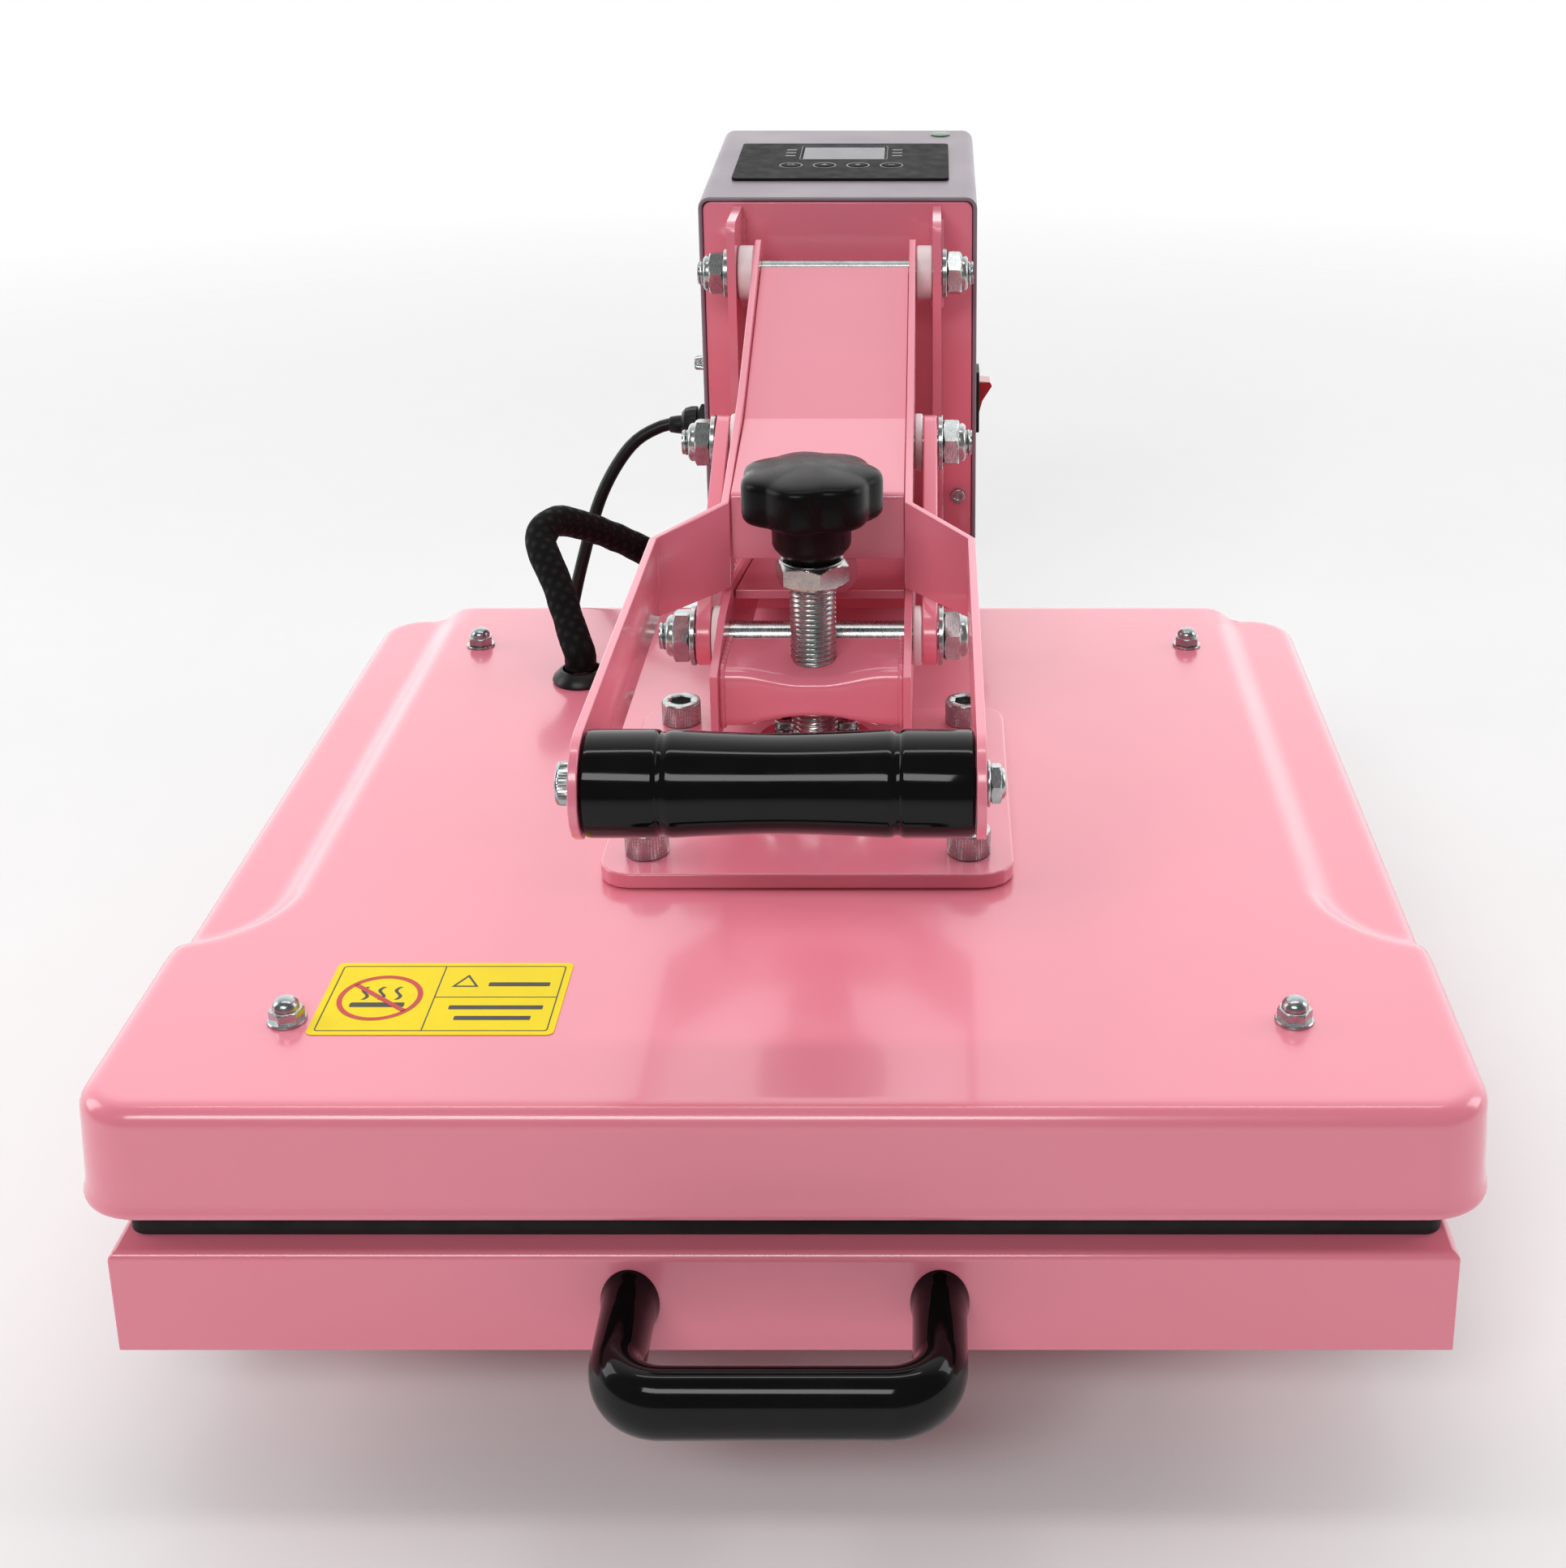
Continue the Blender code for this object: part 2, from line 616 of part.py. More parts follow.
def lever_plate(name, side):
    rear = [LEVER_PIVOT.x + LEVER_REAR_R * math.sin(math.radians(a)) for a in (88, 66, 44, 22)]
    middle = [LEVER_PIVOT.x, 0.108, 0.0585, 0.0525, 0.010, LEVER_BENDS[0], LEVER_BENDS[1], -0.16, GRIP.x]
    front = [GRIP.x - LEVER_FRONT_R * math.sin(math.radians(a)) for a in (22, 44, 66, 88)]
    rings = []
    for y in rear + middle + front:
        x, low, high = lever_station(y)
        near, far = side * x, side * (x + LEVER_SHEET)
        rings.append([(near, y, low), (far, y, low), (far, y, high), (near, y, high)])
    plate = loft(name, rings, PINK)
    cuts = []
    holes = ((LEVER_PIVOT, PIN_HOLE, 0.0365), (LINK_REAR, PIN_HOLE, 0.0365), (GRIP, 0.0045, 0.061))
    for at, radius, x in holes:
        where = (0, at.x, at.y)
        low, high = sorted((side * (x - 0.005), side * (x + 0.005)))
        cuts.append(cylinder(f"{name}_hole", radius, low, high, PINK, "X", where, sides=24))
    combine(plate, cuts, "DIFFERENCE")
    return plate


def make_lever():
    turn = pivot("lever_axis", (0, LEVER_PIVOT.x, LEVER_PIVOT.y))
    for side, word in ((-1, "left"), (1, "right")):
        under(turn, lever_plate(f"lever_plate_{word}", side))
    upper = [Vector((0.1535, 0.302)), Vector((0.0425, 0.260)), Vector((-0.0150, 0.2504))]
    lower = [Vector((-0.0150, 0.2484)), Vector((0.0430, 0.258)), Vector((0.1540, 0.300))]
    cover = sheet("lever_cover", [upper + lower], 2 * (INNER_X[0] - GAP), PINK, (0, 0, 0), UPRIGHT)
    end = LEVER_ARM_X - GAP
    half = [(end, 0.0158), (end - 0.001, GRIP_R), (0.0372, GRIP_R), (0.0362, 0.0160), (0.0345, 0.0160)]
    half += [(0.0335, 0.0164), (0.026, 0.0160), (0.013, 0.0154), (0.0, 0.0152)]
    outer = [(r, x) for x, r in half] + [(r, -x) for x, r in reversed(half[:-1])]
    outer += [(0.0044, -end), (0.0044, end)]
    grip = turned("lever_grip", outer, BLACK_GLOSS, (0, *GRIP), "X", 28, True)
    outside = LEVER_ARM_X + LEVER_SHEET + GAP
    head = ((0, 0.0672), (0.0045, 0.0672), (0.0068, 0.0655), (0.0068, outside), (0.004, outside))
    mirrored = tuple((r, -h) for r, h in reversed(head))
    bolt = turned("grip_bolt", head + mirrored, STEEL, (0, GRIP.x, GRIP.y), "X", 16)
    washer = ((PIN_R, INNER_X[1] + GAP), (0.0125, LINK_X[0] - GAP), (PIN_R, LINK_X[1] + GAP), (0.012, 0.050))
    pin = cross_bolt("link_rear_bolt", LINK_REAR, washer, STEEL, 0.0630)
    combine(pin, [pivot_nut("link_rear_nut", LINK_REAR, side * 0.055) for side in (-1, 1)], "UNION")
    under(turn, cover, grip, bolt, pin)


def capsule(one, two, radius, count=9):
    """Outline of a bar with round ends from one centre to another."""
    along = math.degrees(math.atan2(two.y - one.y, two.x - one.x))
    return arc(two, radius, along - 90, along + 90, count) + arc(one, radius, along + 90, along + 270, count)


def make_links():
    turn = pivot("link_axis", (0, LINK_REAR.x, LINK_REAR.y))
    outline = capsule(LINK_REAR, LINK_FRONT, 0.012)
    for side, word in ((-1, "left"), (1, "right")):
        link = side_plate(f"link_{word}", [outline, circle(LINK_REAR, PIN_HOLE)], LINK_X, side, PINK)
        start = LINK_X[1] + GAP
        heights = [(0, 0.0632), (0.0045, 0.0632), (PIN_R, 0.0615), (PIN_R, 0.0505)]
        heights += [(0.012, 0.0505), (0.012, start), (0, start)]
        profile = heights if side > 0 else [(r, -h) for r, h in reversed(heights)]
        bolt = turned(f"link_front_bolt_{word}", profile, STEEL, (0, *LINK_FRONT), "X", 24)
        combine(bolt, [pivot_nut(f"front_nut_{word}", LINK_FRONT, side * 0.0554)], "UNION")
        under(turn, link, bolt)


# ---------------------------------------------------------------- column and control box


def box_ring(inset, y, low):
    """Upright section of the control box at y, with its two top corners rounded."""
    share = (y - BOX_Y[0]) / (BOX_Y[1] - BOX_Y[0])
    top = BOX_TOP[0] + (BOX_TOP[1] - BOX_TOP[0]) * share - inset
    half, radius = BOX_HALF - inset, BOX_CORNER - inset
    outline = [Vector((half, low))] + arc((half - radius, top - radius), radius, 0, 90, 5)
    outline += arc((-half + radius, top - radius), radius, 90, 180, 5) + [Vector((-half, low))]
    return [(p.x, y, p.y) for p in outline]


def make_column():
    front_top = BOX_TOP[0] - BOX_SHEET - GAP
    half = BOX_HALF - BOX_SHEET - GAP
    face = [Vector((-half, BASE_TOP + GAP)), Vector((half, BASE_TOP + GAP))]
    corner = MAST_CORNER
    face += arc((half - corner, front_top - corner), corner, 0, 90, 5)
    face += arc((-half + corner, front_top - corner), corner, 90, 180, 5)
    centre = (0, BOX_Y[0] + GAP + MAST_SHEET / 2, 0)
    sheet("mast_plate", [face], MAST_SHEET, PINK, centre, (math.pi / 2, 0, 0))
    back, edge = BOX_Y[0], CHEEK_CORNER
    low, high = CHEEK_Z
    outline = [Vector((back, low)), Vector((back, high))]
    outline += arc((CHEEK_Y + edge, high - edge), edge, 90, 180, 4)
    outline += arc((CHEEK_Y + edge, low + edge), edge, 180, 270, 4)
    holes = [circle(LEVER_PIVOT, PIN_HOLE), circle(ARM_PIVOT, PIN_HOLE)]
    for side, word in ((-1, "left"), (1, "right")):
        side_plate(f"mast_cheek_{word}", [outline, *holes], CHEEK_X, side, PINK)
        low, high = sorted((side * (INNER_X[1] + GAP), side * (CHEEK_X[0] - GAP)))
        ring = ((0.013, high), (0.013, low), (PIN_HOLE, low), (PIN_HOLE, high))
        turned(f"nylon_spacer_{word}", ring, NYLON, (0, *LEVER_PIVOT), "X", 24, True)
    for name, at, inner in (("lever_pivot_bolt", LEVER_PIVOT, PIN_R), ("arm_pivot_bolt", ARM_PIVOT, 0.012)):
        stack = [(PIN_R, INNER_X[1] + GAP), (inner, CHEEK_X[0] - GAP)]
        stack += [(PIN_R, CHEEK_X[1] + GAP), (0.012, 0.0525)]
        bolt = cross_bolt(name, at, stack, STEEL, 0.0645)
        combine(bolt, [pivot_nut(f"{name}_nut", at, side * 0.0570) for side in (-1, 1)], "UNION")
    cover = loft("control_box_cover", [box_ring(0, y, BOX_BOTTOM) for y in BOX_Y], LILAC)
    inside = (BOX_Y[0] - 0.01, BOX_Y[1] - BOX_SHEET)
    cuts = [loft("box_hollow", [box_ring(BOX_SHEET, y, BOX_BOTTOM - 0.01) for y in inside], LILAC)]
    hole = Vector((0.010, 0.0080, 0.0148))
    cuts.append(box("switch_hole", SWITCH - hole, SWITCH + hole, LILAC))
    combine(cover, cuts, "DIFFERENCE")
    box("controller_board", (-0.046, 0.3000, 0.215), (0.046, 0.3016, 0.300), BOARD)


def make_panel():
    slope = math.atan2(BOX_TOP[1] - BOX_TOP[0], BOX_Y[1] - BOX_Y[0])
    rise = (BOX_TOP[1] - BOX_TOP[0]) * (PANEL_Y - BOX_Y[0]) / (BOX_Y[1] - BOX_Y[0])
    base = Matrix.Translation((0, PANEL_Y, BOX_TOP[0] + rise)) @ Matrix.Rotation(slope, 4, "X")
    width, depth = PANEL_SIZE
    window_low = Vector((-DISPLAY[0] / 2 - GAP, DISPLAY[2] - DISPLAY[1] / 2 - GAP))
    window_high = Vector((DISPLAY[0] / 2 + GAP, DISPLAY[2] + DISPLAY[1] / 2 + GAP))
    outlines = [rounded_rectangle((-width / 2, -depth / 2), (width / 2, depth / 2), 0.002, 3)]
    outlines.append(rounded_rectangle(window_low, window_high, 0.0005, 2))
    outlines += [circle((x, KEY_Y), KEY_R + GAP, 20) for x in KEY_X]
    film = sheet("panel_overlay", outlines, 0.0012, OVERLAY)
    film.matrix_world = base @ Matrix.Translation((0, 0, 0.0009))
    low = (-DISPLAY[0] / 2, DISPLAY[2] - DISPLAY[1] / 2, GAP)
    screen = box("display_window", low, (DISPLAY[0] / 2, DISPLAY[2] + DISPLAY[1] / 2, 0.0013), DISPLAY_GREY)
    screen.matrix_world = base @ Matrix.Translation(screen.location)
    for number, x in enumerate(KEY_X, 1):
        profile = ((0, 0.0019), (KEY_R - 0.0004, 0.0019), (KEY_R, 0.0016), (KEY_R, 0.0008), (0, 0.0008))
        key = turned(f"panel_key_{number}", profile, OVERLAY, (0, 0, 0), steps=20)
        key.matrix_world = base @ Matrix.Translation((x, KEY_Y, 0))


def make_switch():
    """Bezel through the right wall and the rocker inside it."""
    out = 0.0023
    low = SWITCH + Vector((-0.012, -0.0075, -0.0143))
    high = SWITCH + Vector((out, 0.0075, 0.0143))
    bezel = box("switch_bezel", low, high, BLACK_MATT)
    rim = box(
        "bezel_rim",
        SWITCH + Vector((GAP, -0.0092, -0.0160)),
        SWITCH + Vector((out, 0.0092, 0.0160)),
        BLACK_MATT,
    )
    well = Vector((0.020, 0.0066, 0.0130))
    combine(bezel, [rim], "UNION")
    combine(bezel, [box("bezel_well", SWITCH - well, SWITCH + well, BLACK_MATT)], "DIFFERENCE")
    axis = Vector((SWITCH.x - 0.0035, SWITCH.z))
    shape = [(-0.003, -0.009), (0.0030, -0.0103), (0.0050, -0.0098), (0.0075, 0.0)]
    shape += [(0.0125, 0.0080), (0.0115, 0.0100), (0.0040, 0.0106), (-0.003, 0.009)]
    rings = []
    for y in (SWITCH.y - 0.0063, SWITCH.y + 0.0063):
        rings.append([(axis.x + dx, y, axis.y + dz) for dx, dz in shape])
    rocker = loft("power_rocker", rings, RED)
    under(pivot("rocker_axis", (axis.x, SWITCH.y, axis.y)), rocker)


# ---------------------------------------------------------------- cords


def make_power_cord():
    nut = [(0, 0.0155), (0.0046, 0.0155), (0.0075, 0.0100), (0.0085, 0.0065)]
    nut += [(0.0098, 0.0060), (0.0098, GAP), (0, GAP)]
    turned("cord_gland", [(r, -h) for r, h in reversed(nut)], BLACK_MATT, GLAND, "X", 24)
    floor = CORD_R + GAP
    south = Vector((COIL.x, COIL.y - COIL_TURN_R[-1], floor))
    points = [
        GLAND + Vector((-0.0158, 0, 0)),
        GLAND + Vector((-0.0260, 0, -0.0010)),
        GLAND + Vector((-0.0420, -0.0020, -0.0110)),
        GLAND + Vector((-0.0570, -0.0070, -0.0350)),
        GLAND + Vector((-0.0680, -0.0130, -0.0700)),
        GLAND + Vector((-0.0760, -0.0200, -0.1050)),
        GLAND + Vector((-0.0835, -0.0280, -0.1450)),
        Vector((-0.1580, 0.1895, 0.0300)),
        Vector((-0.1700, 0.1868, 0.0100)),
        Vector((-0.1850, south.y, floor)),
        south + Vector((0.0006, 0, 0)),
    ]
    tube("power_cord", route(points, 36), CORD_R, RUBBER)
    low, high = GAP, 4 * CORD_R + GAP
    outer, inner = COIL_TURN_R[-1] + CORD_R, COIL_TURN_R[0] - CORD_R
    edge = 0.0025
    ring = [(outer - edge, high), (outer, high - edge), (outer, low + edge), (outer - edge, low)]
    ring += [(inner + edge, low), (inner, low + edge), (inner, high - edge), (inner + edge, high)]
    coil = turned("power_cord_coil", ring, RUBBER, (COIL.x, COIL.y, 0), steps=28, ring=True)
    reach = Vector((0.06, 0.006, 0.006))
    mouth = box("coil_mouth", south - Vector((0, 0.006, 0.006)), south + reach, RUBBER)
    combine(coil, [mouth], "DIFFERENCE")
    make_plug()


def make_plug():
    """Moulded plug that lies behind the coil, in line with its outer turn."""
    west = COIL.x - COIL_TURN_R[-1]
    start = COIL.y + 0.0272
    sections = (
        (start, 0.0042, 0.0042, 0.0098),
        (start + 0.024, 0.0060, 0.0060, 0.0115),
        (start + 0.030, 0.0105, 0.0095, 0.0125),
        (start + 0.036, 0.0135, 0.0115, 0.0125),
        (start + 0.060, 0.0135, 0.0115, 0.0125),
    )
    rings = [
        [(west + p.x, y, z + p.y) for p in rounded_rectangle((-w, -h), (w, h), min(w, h) * 0.7, 3)]
        for y, w, h, z in sections
    ]
    plug = loft("power_plug", rings, BLACK_MATT)
    end = start + 0.060
    blades = []
    half = Vector((0.0008, 0, 0.0032))
    for x in (west - 0.0064, west + 0.0064):
        low = Vector((x, end - 0.002, 0.0145)) - half
        blades.append(box("blade", low, Vector((x, end + 0.017, 0.0145)) + half, STEEL))
    pin = cylinder("earth_pin", 0.0024, end - 0.002, end + 0.019, STEEL, "Y", (west, 0, 0.0062), sides=12)
    blades.append(pin)
    combine(plug, blades, "UNION")


def make_harness():
    """Braided sleeve from the control box to the heater, through the grommet in the cover."""
    points = [
        GROMMET + Vector((0, 0, 0.0062)),
        GROMMET + Vector((-0.0008, 0.0010, 0.0110)),
        GROMMET + Vector((-0.0040, 0.0070, 0.0190)),
        GROMMET + Vector((-0.0130, 0.0250, 0.0360)),
        GROMMET + Vector((-0.0230, 0.0440, 0.0500)),
        GROMMET + Vector((-0.0190, 0.0590, 0.0545)),
        GROMMET + Vector((-0.0090, 0.0760, 0.0470)),
        GROMMET + Vector((0.0060, 0.0980, 0.0320)),
        GROMMET + Vector((0.0210, 0.1210, 0.0140)),
        GROMMET + Vector((0.0310, 0.1450, 0.0000)),
        GROMMET + Vector((0.0362, 0.1640, -0.0060)),
    ]
    tube("wiring_harness", route(points, 24), SLEEVE_R, BRAID)


make_base()
make_drawer()
make_platen()
make_screw()
make_arm()
make_lever()
make_links()
make_column()
make_panel()
make_switch()
make_power_cord()
make_harness()
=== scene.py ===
"""Looks of a clamshell heat press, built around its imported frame.

Metres, +Z up, front towards -Y. Pieces take their places from the frame's nodes and joints.
"""

import json
import math

import bmesh
import bpy
from mathutils import Matrix, Vector

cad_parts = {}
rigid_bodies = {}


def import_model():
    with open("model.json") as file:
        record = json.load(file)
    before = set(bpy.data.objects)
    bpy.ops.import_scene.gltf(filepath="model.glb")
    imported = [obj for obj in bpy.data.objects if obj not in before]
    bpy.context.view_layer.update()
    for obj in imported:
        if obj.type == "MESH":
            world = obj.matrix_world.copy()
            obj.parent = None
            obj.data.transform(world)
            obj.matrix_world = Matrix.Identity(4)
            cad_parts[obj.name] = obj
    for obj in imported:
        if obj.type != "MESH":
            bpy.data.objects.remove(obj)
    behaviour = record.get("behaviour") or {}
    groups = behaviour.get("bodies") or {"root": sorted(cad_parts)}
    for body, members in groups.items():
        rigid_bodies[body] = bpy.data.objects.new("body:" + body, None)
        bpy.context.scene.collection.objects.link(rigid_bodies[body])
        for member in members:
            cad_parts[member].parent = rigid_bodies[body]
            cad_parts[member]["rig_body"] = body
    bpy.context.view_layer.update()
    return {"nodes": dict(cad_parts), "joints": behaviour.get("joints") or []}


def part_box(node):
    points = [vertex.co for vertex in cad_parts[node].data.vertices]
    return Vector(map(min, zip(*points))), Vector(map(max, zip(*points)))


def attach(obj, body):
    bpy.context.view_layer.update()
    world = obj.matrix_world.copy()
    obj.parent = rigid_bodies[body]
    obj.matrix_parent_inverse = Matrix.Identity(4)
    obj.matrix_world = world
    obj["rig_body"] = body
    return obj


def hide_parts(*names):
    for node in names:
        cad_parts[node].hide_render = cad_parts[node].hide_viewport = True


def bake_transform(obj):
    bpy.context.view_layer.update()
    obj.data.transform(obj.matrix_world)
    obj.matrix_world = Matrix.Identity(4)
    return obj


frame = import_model()
NODES = frame["nodes"]
JOINTS = {joint["name"]: joint for joint in frame["joints"]}
GAP = 0.0003
MM = 0.001
SIDES = (("left", -1), ("right", 1))


def middle(node):
    low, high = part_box(node)
    return (low + high) / 2


LEVER_PIVOT = Vector(JOINTS["lever_swing"]["pos_m"])
ARM_PIVOT = Vector(JOINTS["arm_swing"]["pos_m"])
LINK_REAR = Vector(JOINTS["link_swing"]["pos_m"])
LINK_FRONT = middle("arm_front_shaft")
GRIP = middle("lever_grip")
SCREW = middle("pressure_screw")
LID_LOW, LID_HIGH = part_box("lid_cover")
LID_TOP = LID_HIGH.z
LID_CENTRE = (LID_LOW + LID_HIGH) / 2
BOX_LOW, BOX_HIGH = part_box("control_box_cover")


# ---------------------------------------------------------------- materials


class Nodes:
    """A node tree that is built by adding and joining."""

    def __init__(self, tree):
        self.tree = tree

    def add(self, kind, **values):
        """A new node, with its sockets or its settings by name."""
        node = self.tree.nodes.new(kind)
        for key, value in values.items():
            if key in node.inputs:
                node.inputs[key].default_value = value
            else:
                setattr(node, key, value)
        return node

    def join(self, source, target):
        self.tree.links.new(source, target)

    def spread(self, factor, low, high, start=0.3, stop=0.7):
        """A value that goes from low to high as the factor goes from start to stop."""
        limits = {"From Min": start, "From Max": stop, "To Min": low, "To Max": high}
        made = self.add("ShaderNodeMapRange", **limits)
        self.join(factor, made.inputs["Value"])
        return made.outputs["Result"]

    def mix(self, factor, one, two):
        made = self.add("ShaderNodeMixShader")
        self.join(factor, made.inputs["Fac"])
        self.join(one, made.inputs[1])
        self.join(two, made.inputs[2])
        return made.outputs["Shader"]


class Surface(Nodes):
    """A Principled material whose colour, roughness and relief come from nodes."""

    def __init__(self, name, metallic=0.0, coordinates="Object", **sockets):
        self.made = bpy.data.materials.new(name)
        self.made.use_nodes = True
        super().__init__(self.made.node_tree)
        self.shader = self.tree.nodes["Principled BSDF"]
        self.shader.inputs["Metallic"].default_value = metallic
        for socket, value in sockets.items():
            self.shader.inputs[socket.replace("_", " ")].default_value = value
        self.place = self.add("ShaderNodeTexCoord").outputs[coordinates]

    def stretched(self, stretch):
        mapping = self.add("ShaderNodeMapping", Scale=stretch)
        self.join(self.place, mapping.inputs["Vector"])
        return mapping.outputs["Vector"]

    def noise(self, scale, detail=2.0, stretch=(1, 1, 1)):
        made = self.add("ShaderNodeTexNoise", Scale=scale, Detail=detail)
        self.join(self.stretched(stretch), made.inputs["Vector"])
        return made.outputs["Fac"]

    def cells(self, scale):
        made = self.add("ShaderNodeTexVoronoi", Scale=scale)
        self.join(self.place, made.inputs["Vector"])
        return made.outputs["Distance"]

    def waves(self, scale, direction, stretch=(1, 1, 1)):
        made = self.add("ShaderNodeTexWave", Scale=scale, bands_direction=direction)
        self.join(self.stretched(stretch), made.inputs["Vector"])
        return made.outputs["Fac"]

    def multiply(self, one, two):
        made = self.add("ShaderNodeMath", operation="MULTIPLY")
        self.join(one, made.inputs[0])
        self.join(two, made.inputs[1])
        return made.outputs["Value"]

    def tint(self, factor, *stops):
        """Base colour from a factor: stops are (position, red, green, blue)."""
        ramp = self.add("ShaderNodeValToRGB")
        elements = ramp.color_ramp.elements
        while len(elements) < len(stops):
            elements.new(0.5)
        for element, (position, *colour) in zip(elements, stops):
            element.position = position
            element.color = (*colour, 1.0)
        self.join(factor, ramp.inputs["Fac"])
        self.join(ramp.outputs["Color"], self.shader.inputs["Base Color"])
        return self

    def gloss(self, factor, low, high):
        self.join(self.spread(factor, low, high), self.shader.inputs["Roughness"])
        return self

    def relief(self, *layers):
        """Bump from (height factor, depth in metres) layers."""
        below = None
        for factor, depth in layers:
            bump = self.add("ShaderNodeBump", Strength=1.0, Distance=depth)
            self.join(factor, bump.inputs["Height"])
            if below:
                self.join(below, bump.inputs["Normal"])
            below = bump.outputs["Normal"]
        self.join(below, self.shader.inputs["Normal"])
        return self


def enamel(name, dark, light, low, high, coat):
    """Powder coat: a faint drift of tint, patches of gloss and a fine orange peel."""
    made = Surface(name, Specular_IOR_Level=0.55, Coat_Weight=coat, Coat_Roughness=0.10)
    made.tint(made.noise(9.0, 3.0), (0.3, *dark), (0.7, *light))
    made.gloss(made.noise(30.0, 2.0), low, high)
    return made.relief((made.noise(420.0, 1.0), 0.000008), (made.noise(2600.0, 1.0), 0.000003)).made


def steel(name, dark, light, low, high, brushed=(1, 1, 14)):
    """Bright zinc plate or chrome, with faint lay marks and a cloudy passivation tint."""
    made = Surface(name, metallic=1.0)
    made.tint(made.noise(160.0, 3.0), (0.25, *dark), (0.75, *light))
    made.gloss(made.noise(420.0, 3.0, brushed), low, high)
    return made.relief((made.noise(900.0, 2.0, brushed), 0.000006)).made


def plastic(name, dark, light, low, high, grain=1500.0, depth=0.000004, specular=0.5, **sockets):
    """Moulded plastic or rubber with a slight unevenness of gloss and a fine grain."""
    made = Surface(name, Specular_IOR_Level=specular, **sockets)
    made.tint(made.noise(70.0, 3.0), (0.3, *dark), (0.7, *light))
    made.gloss(made.noise(130.0, 4.0), low, high)
    return made.relief((made.noise(grain, 2.0), depth)).made


def black(name, dark, light, *texture):
    """Plastic or rubber of a neutral dark grey."""
    return plastic(name, (dark,) * 3, (light,) * 3, *texture)


def braid():
    """Crossing diagonal strands, along a tube's own coordinates."""
    made = Surface("braid_fibre", coordinates="UV", Specular_IOR_Level=0.15)
    weave = made.multiply(made.waves(1.0, "DIAGONAL"), made.waves(1.0, "DIAGONAL", (-1, 1, 1)))
    made.tint(weave, (0.0, 0.0010, 0.0010, 0.0011), (0.8, 0.0050, 0.0050, 0.0055))
    made.gloss(weave, 0.75, 0.55)
    return made.relief((weave, 0.00022)).made


def silicone():
    """Sponge sheet with the shallow print of the cloth it was cured on."""
    made = Surface("silicone_sponge", Specular_IOR_Level=0.4)
    made.tint(made.noise(40.0, 3.0), (0.3, 0.006, 0.006, 0.006), (0.7, 0.012, 0.012, 0.012))
    made.gloss(made.noise(90.0), 0.55, 0.75)
    grid = made.multiply(made.waves(160.0, "X"), made.waves(160.0, "Y"))
    return made.relief((grid, 0.00003), (made.noise(1400.0), 0.00001)).made


def wool():
    """Ceramic wool felt, matt and fibrous."""
    made = Surface("ceramic_wool", Sheen_Weight=0.3)
    made.tint(made.noise(120.0, 6.0), (0.3, 0.42, 0.38, 0.30), (0.7, 0.66, 0.63, 0.56))
    made.gloss(made.noise(60.0), 0.9, 1.0)
    return made.relief((made.noise(260.0, 8.0), 0.0006)).made


def board():
    """Green solder mask with round pads."""
    made = Surface("solder_mask")
    made.tint(made.cells(210.0), (0.10, 0.02, 0.16, 0.06), (0.14, 0.01, 0.09, 0.03))
    made.gloss(made.noise(90.0), 0.3, 0.5)
    return made.relief((made.cells(210.0), 0.0002)).made


PINK = (0.840, 0.226, 0.308), (0.865, 0.240, 0.324)
LILAC = (0.24, 0.195, 0.235), (0.27, 0.220, 0.260)
ZINC = (0.30, 0.34, 0.35), (0.56, 0.56, 0.54)
CHROME = (0.66, 0.67, 0.68), (0.80, 0.80, 0.80)
ALUMINIUM = (0.55, 0.55, 0.56), (0.72, 0.72, 0.72)
NYLON = (0.86, 0.87, 0.86), (0.93, 0.94, 0.93)
FILM = (0.012, 0.012, 0.013), (0.017, 0.017, 0.019)
DISPLAY = (0.10, 0.095, 0.11), (0.14, 0.135, 0.15)
RED = (0.40, 0.003, 0.004), (0.62, 0.008, 0.010)
YELLOW = (0.90, 0.70, 0.0005), (0.94, 0.74, 0.001)

# Plastics give roughness from and to, the grain's fineness, its depth in metres and the specular level.
FINISH = {
    "pink_enamel": enamel("pink_enamel_coat", *PINK, 0.22, 0.27, 0.55),
    "lilac_enamel": enamel("lilac_enamel_coat", *LILAC, 0.38, 0.46, 0.05),
    "zinc_steel": steel("zinc_plate", *ZINC, 0.16, 0.32),
    "chrome": steel("chrome_plate", *CHROME, 0.05, 0.12),
    "aluminium": steel("cast_aluminium", *ALUMINIUM, 0.30, 0.45, (1, 12, 1)),
    "black_gloss_plastic": black("gloss_black_moulding", 0.002, 0.004, 0.06, 0.11, 500.0, 0.000001, 0.22),
    "black_matt_plastic": black("matt_black_moulding", 0.004, 0.008, 0.38, 0.52, 1800.0, 0.00003, 0.3),
    "black_rubber": black("black_rubber_skin", 0.004, 0.007, 0.30, 0.42, 900.0, 0.00001, 0.35),
    "black_silicone": silicone(),
    "white_nylon": plastic("turned_nylon", *NYLON, 0.35, 0.5, 900.0, 0.00001),
    "panel_film": plastic("printed_film", *FILM, 0.42, 0.55, 2600.0, 0.00001, 0.03),
    "display_grey": plastic("unlit_display", *DISPLAY, 0.12, 0.2, 300.0, 0.000001, 0.15),
    "red_rocker": plastic(
        "red_translucent", *RED, 0.10, 0.20, 600.0, 0.000002, Coat_Weight=0.5, Coat_Roughness=0.05
    ),
    "insulation": wool(),
    "circuit_board": board(),
    "black_braid": braid(),
}
KNOB_PLASTIC = black("knob_black", 0.003, 0.006, 0.22, 0.34, 1100.0, 0.00001, 0.12)
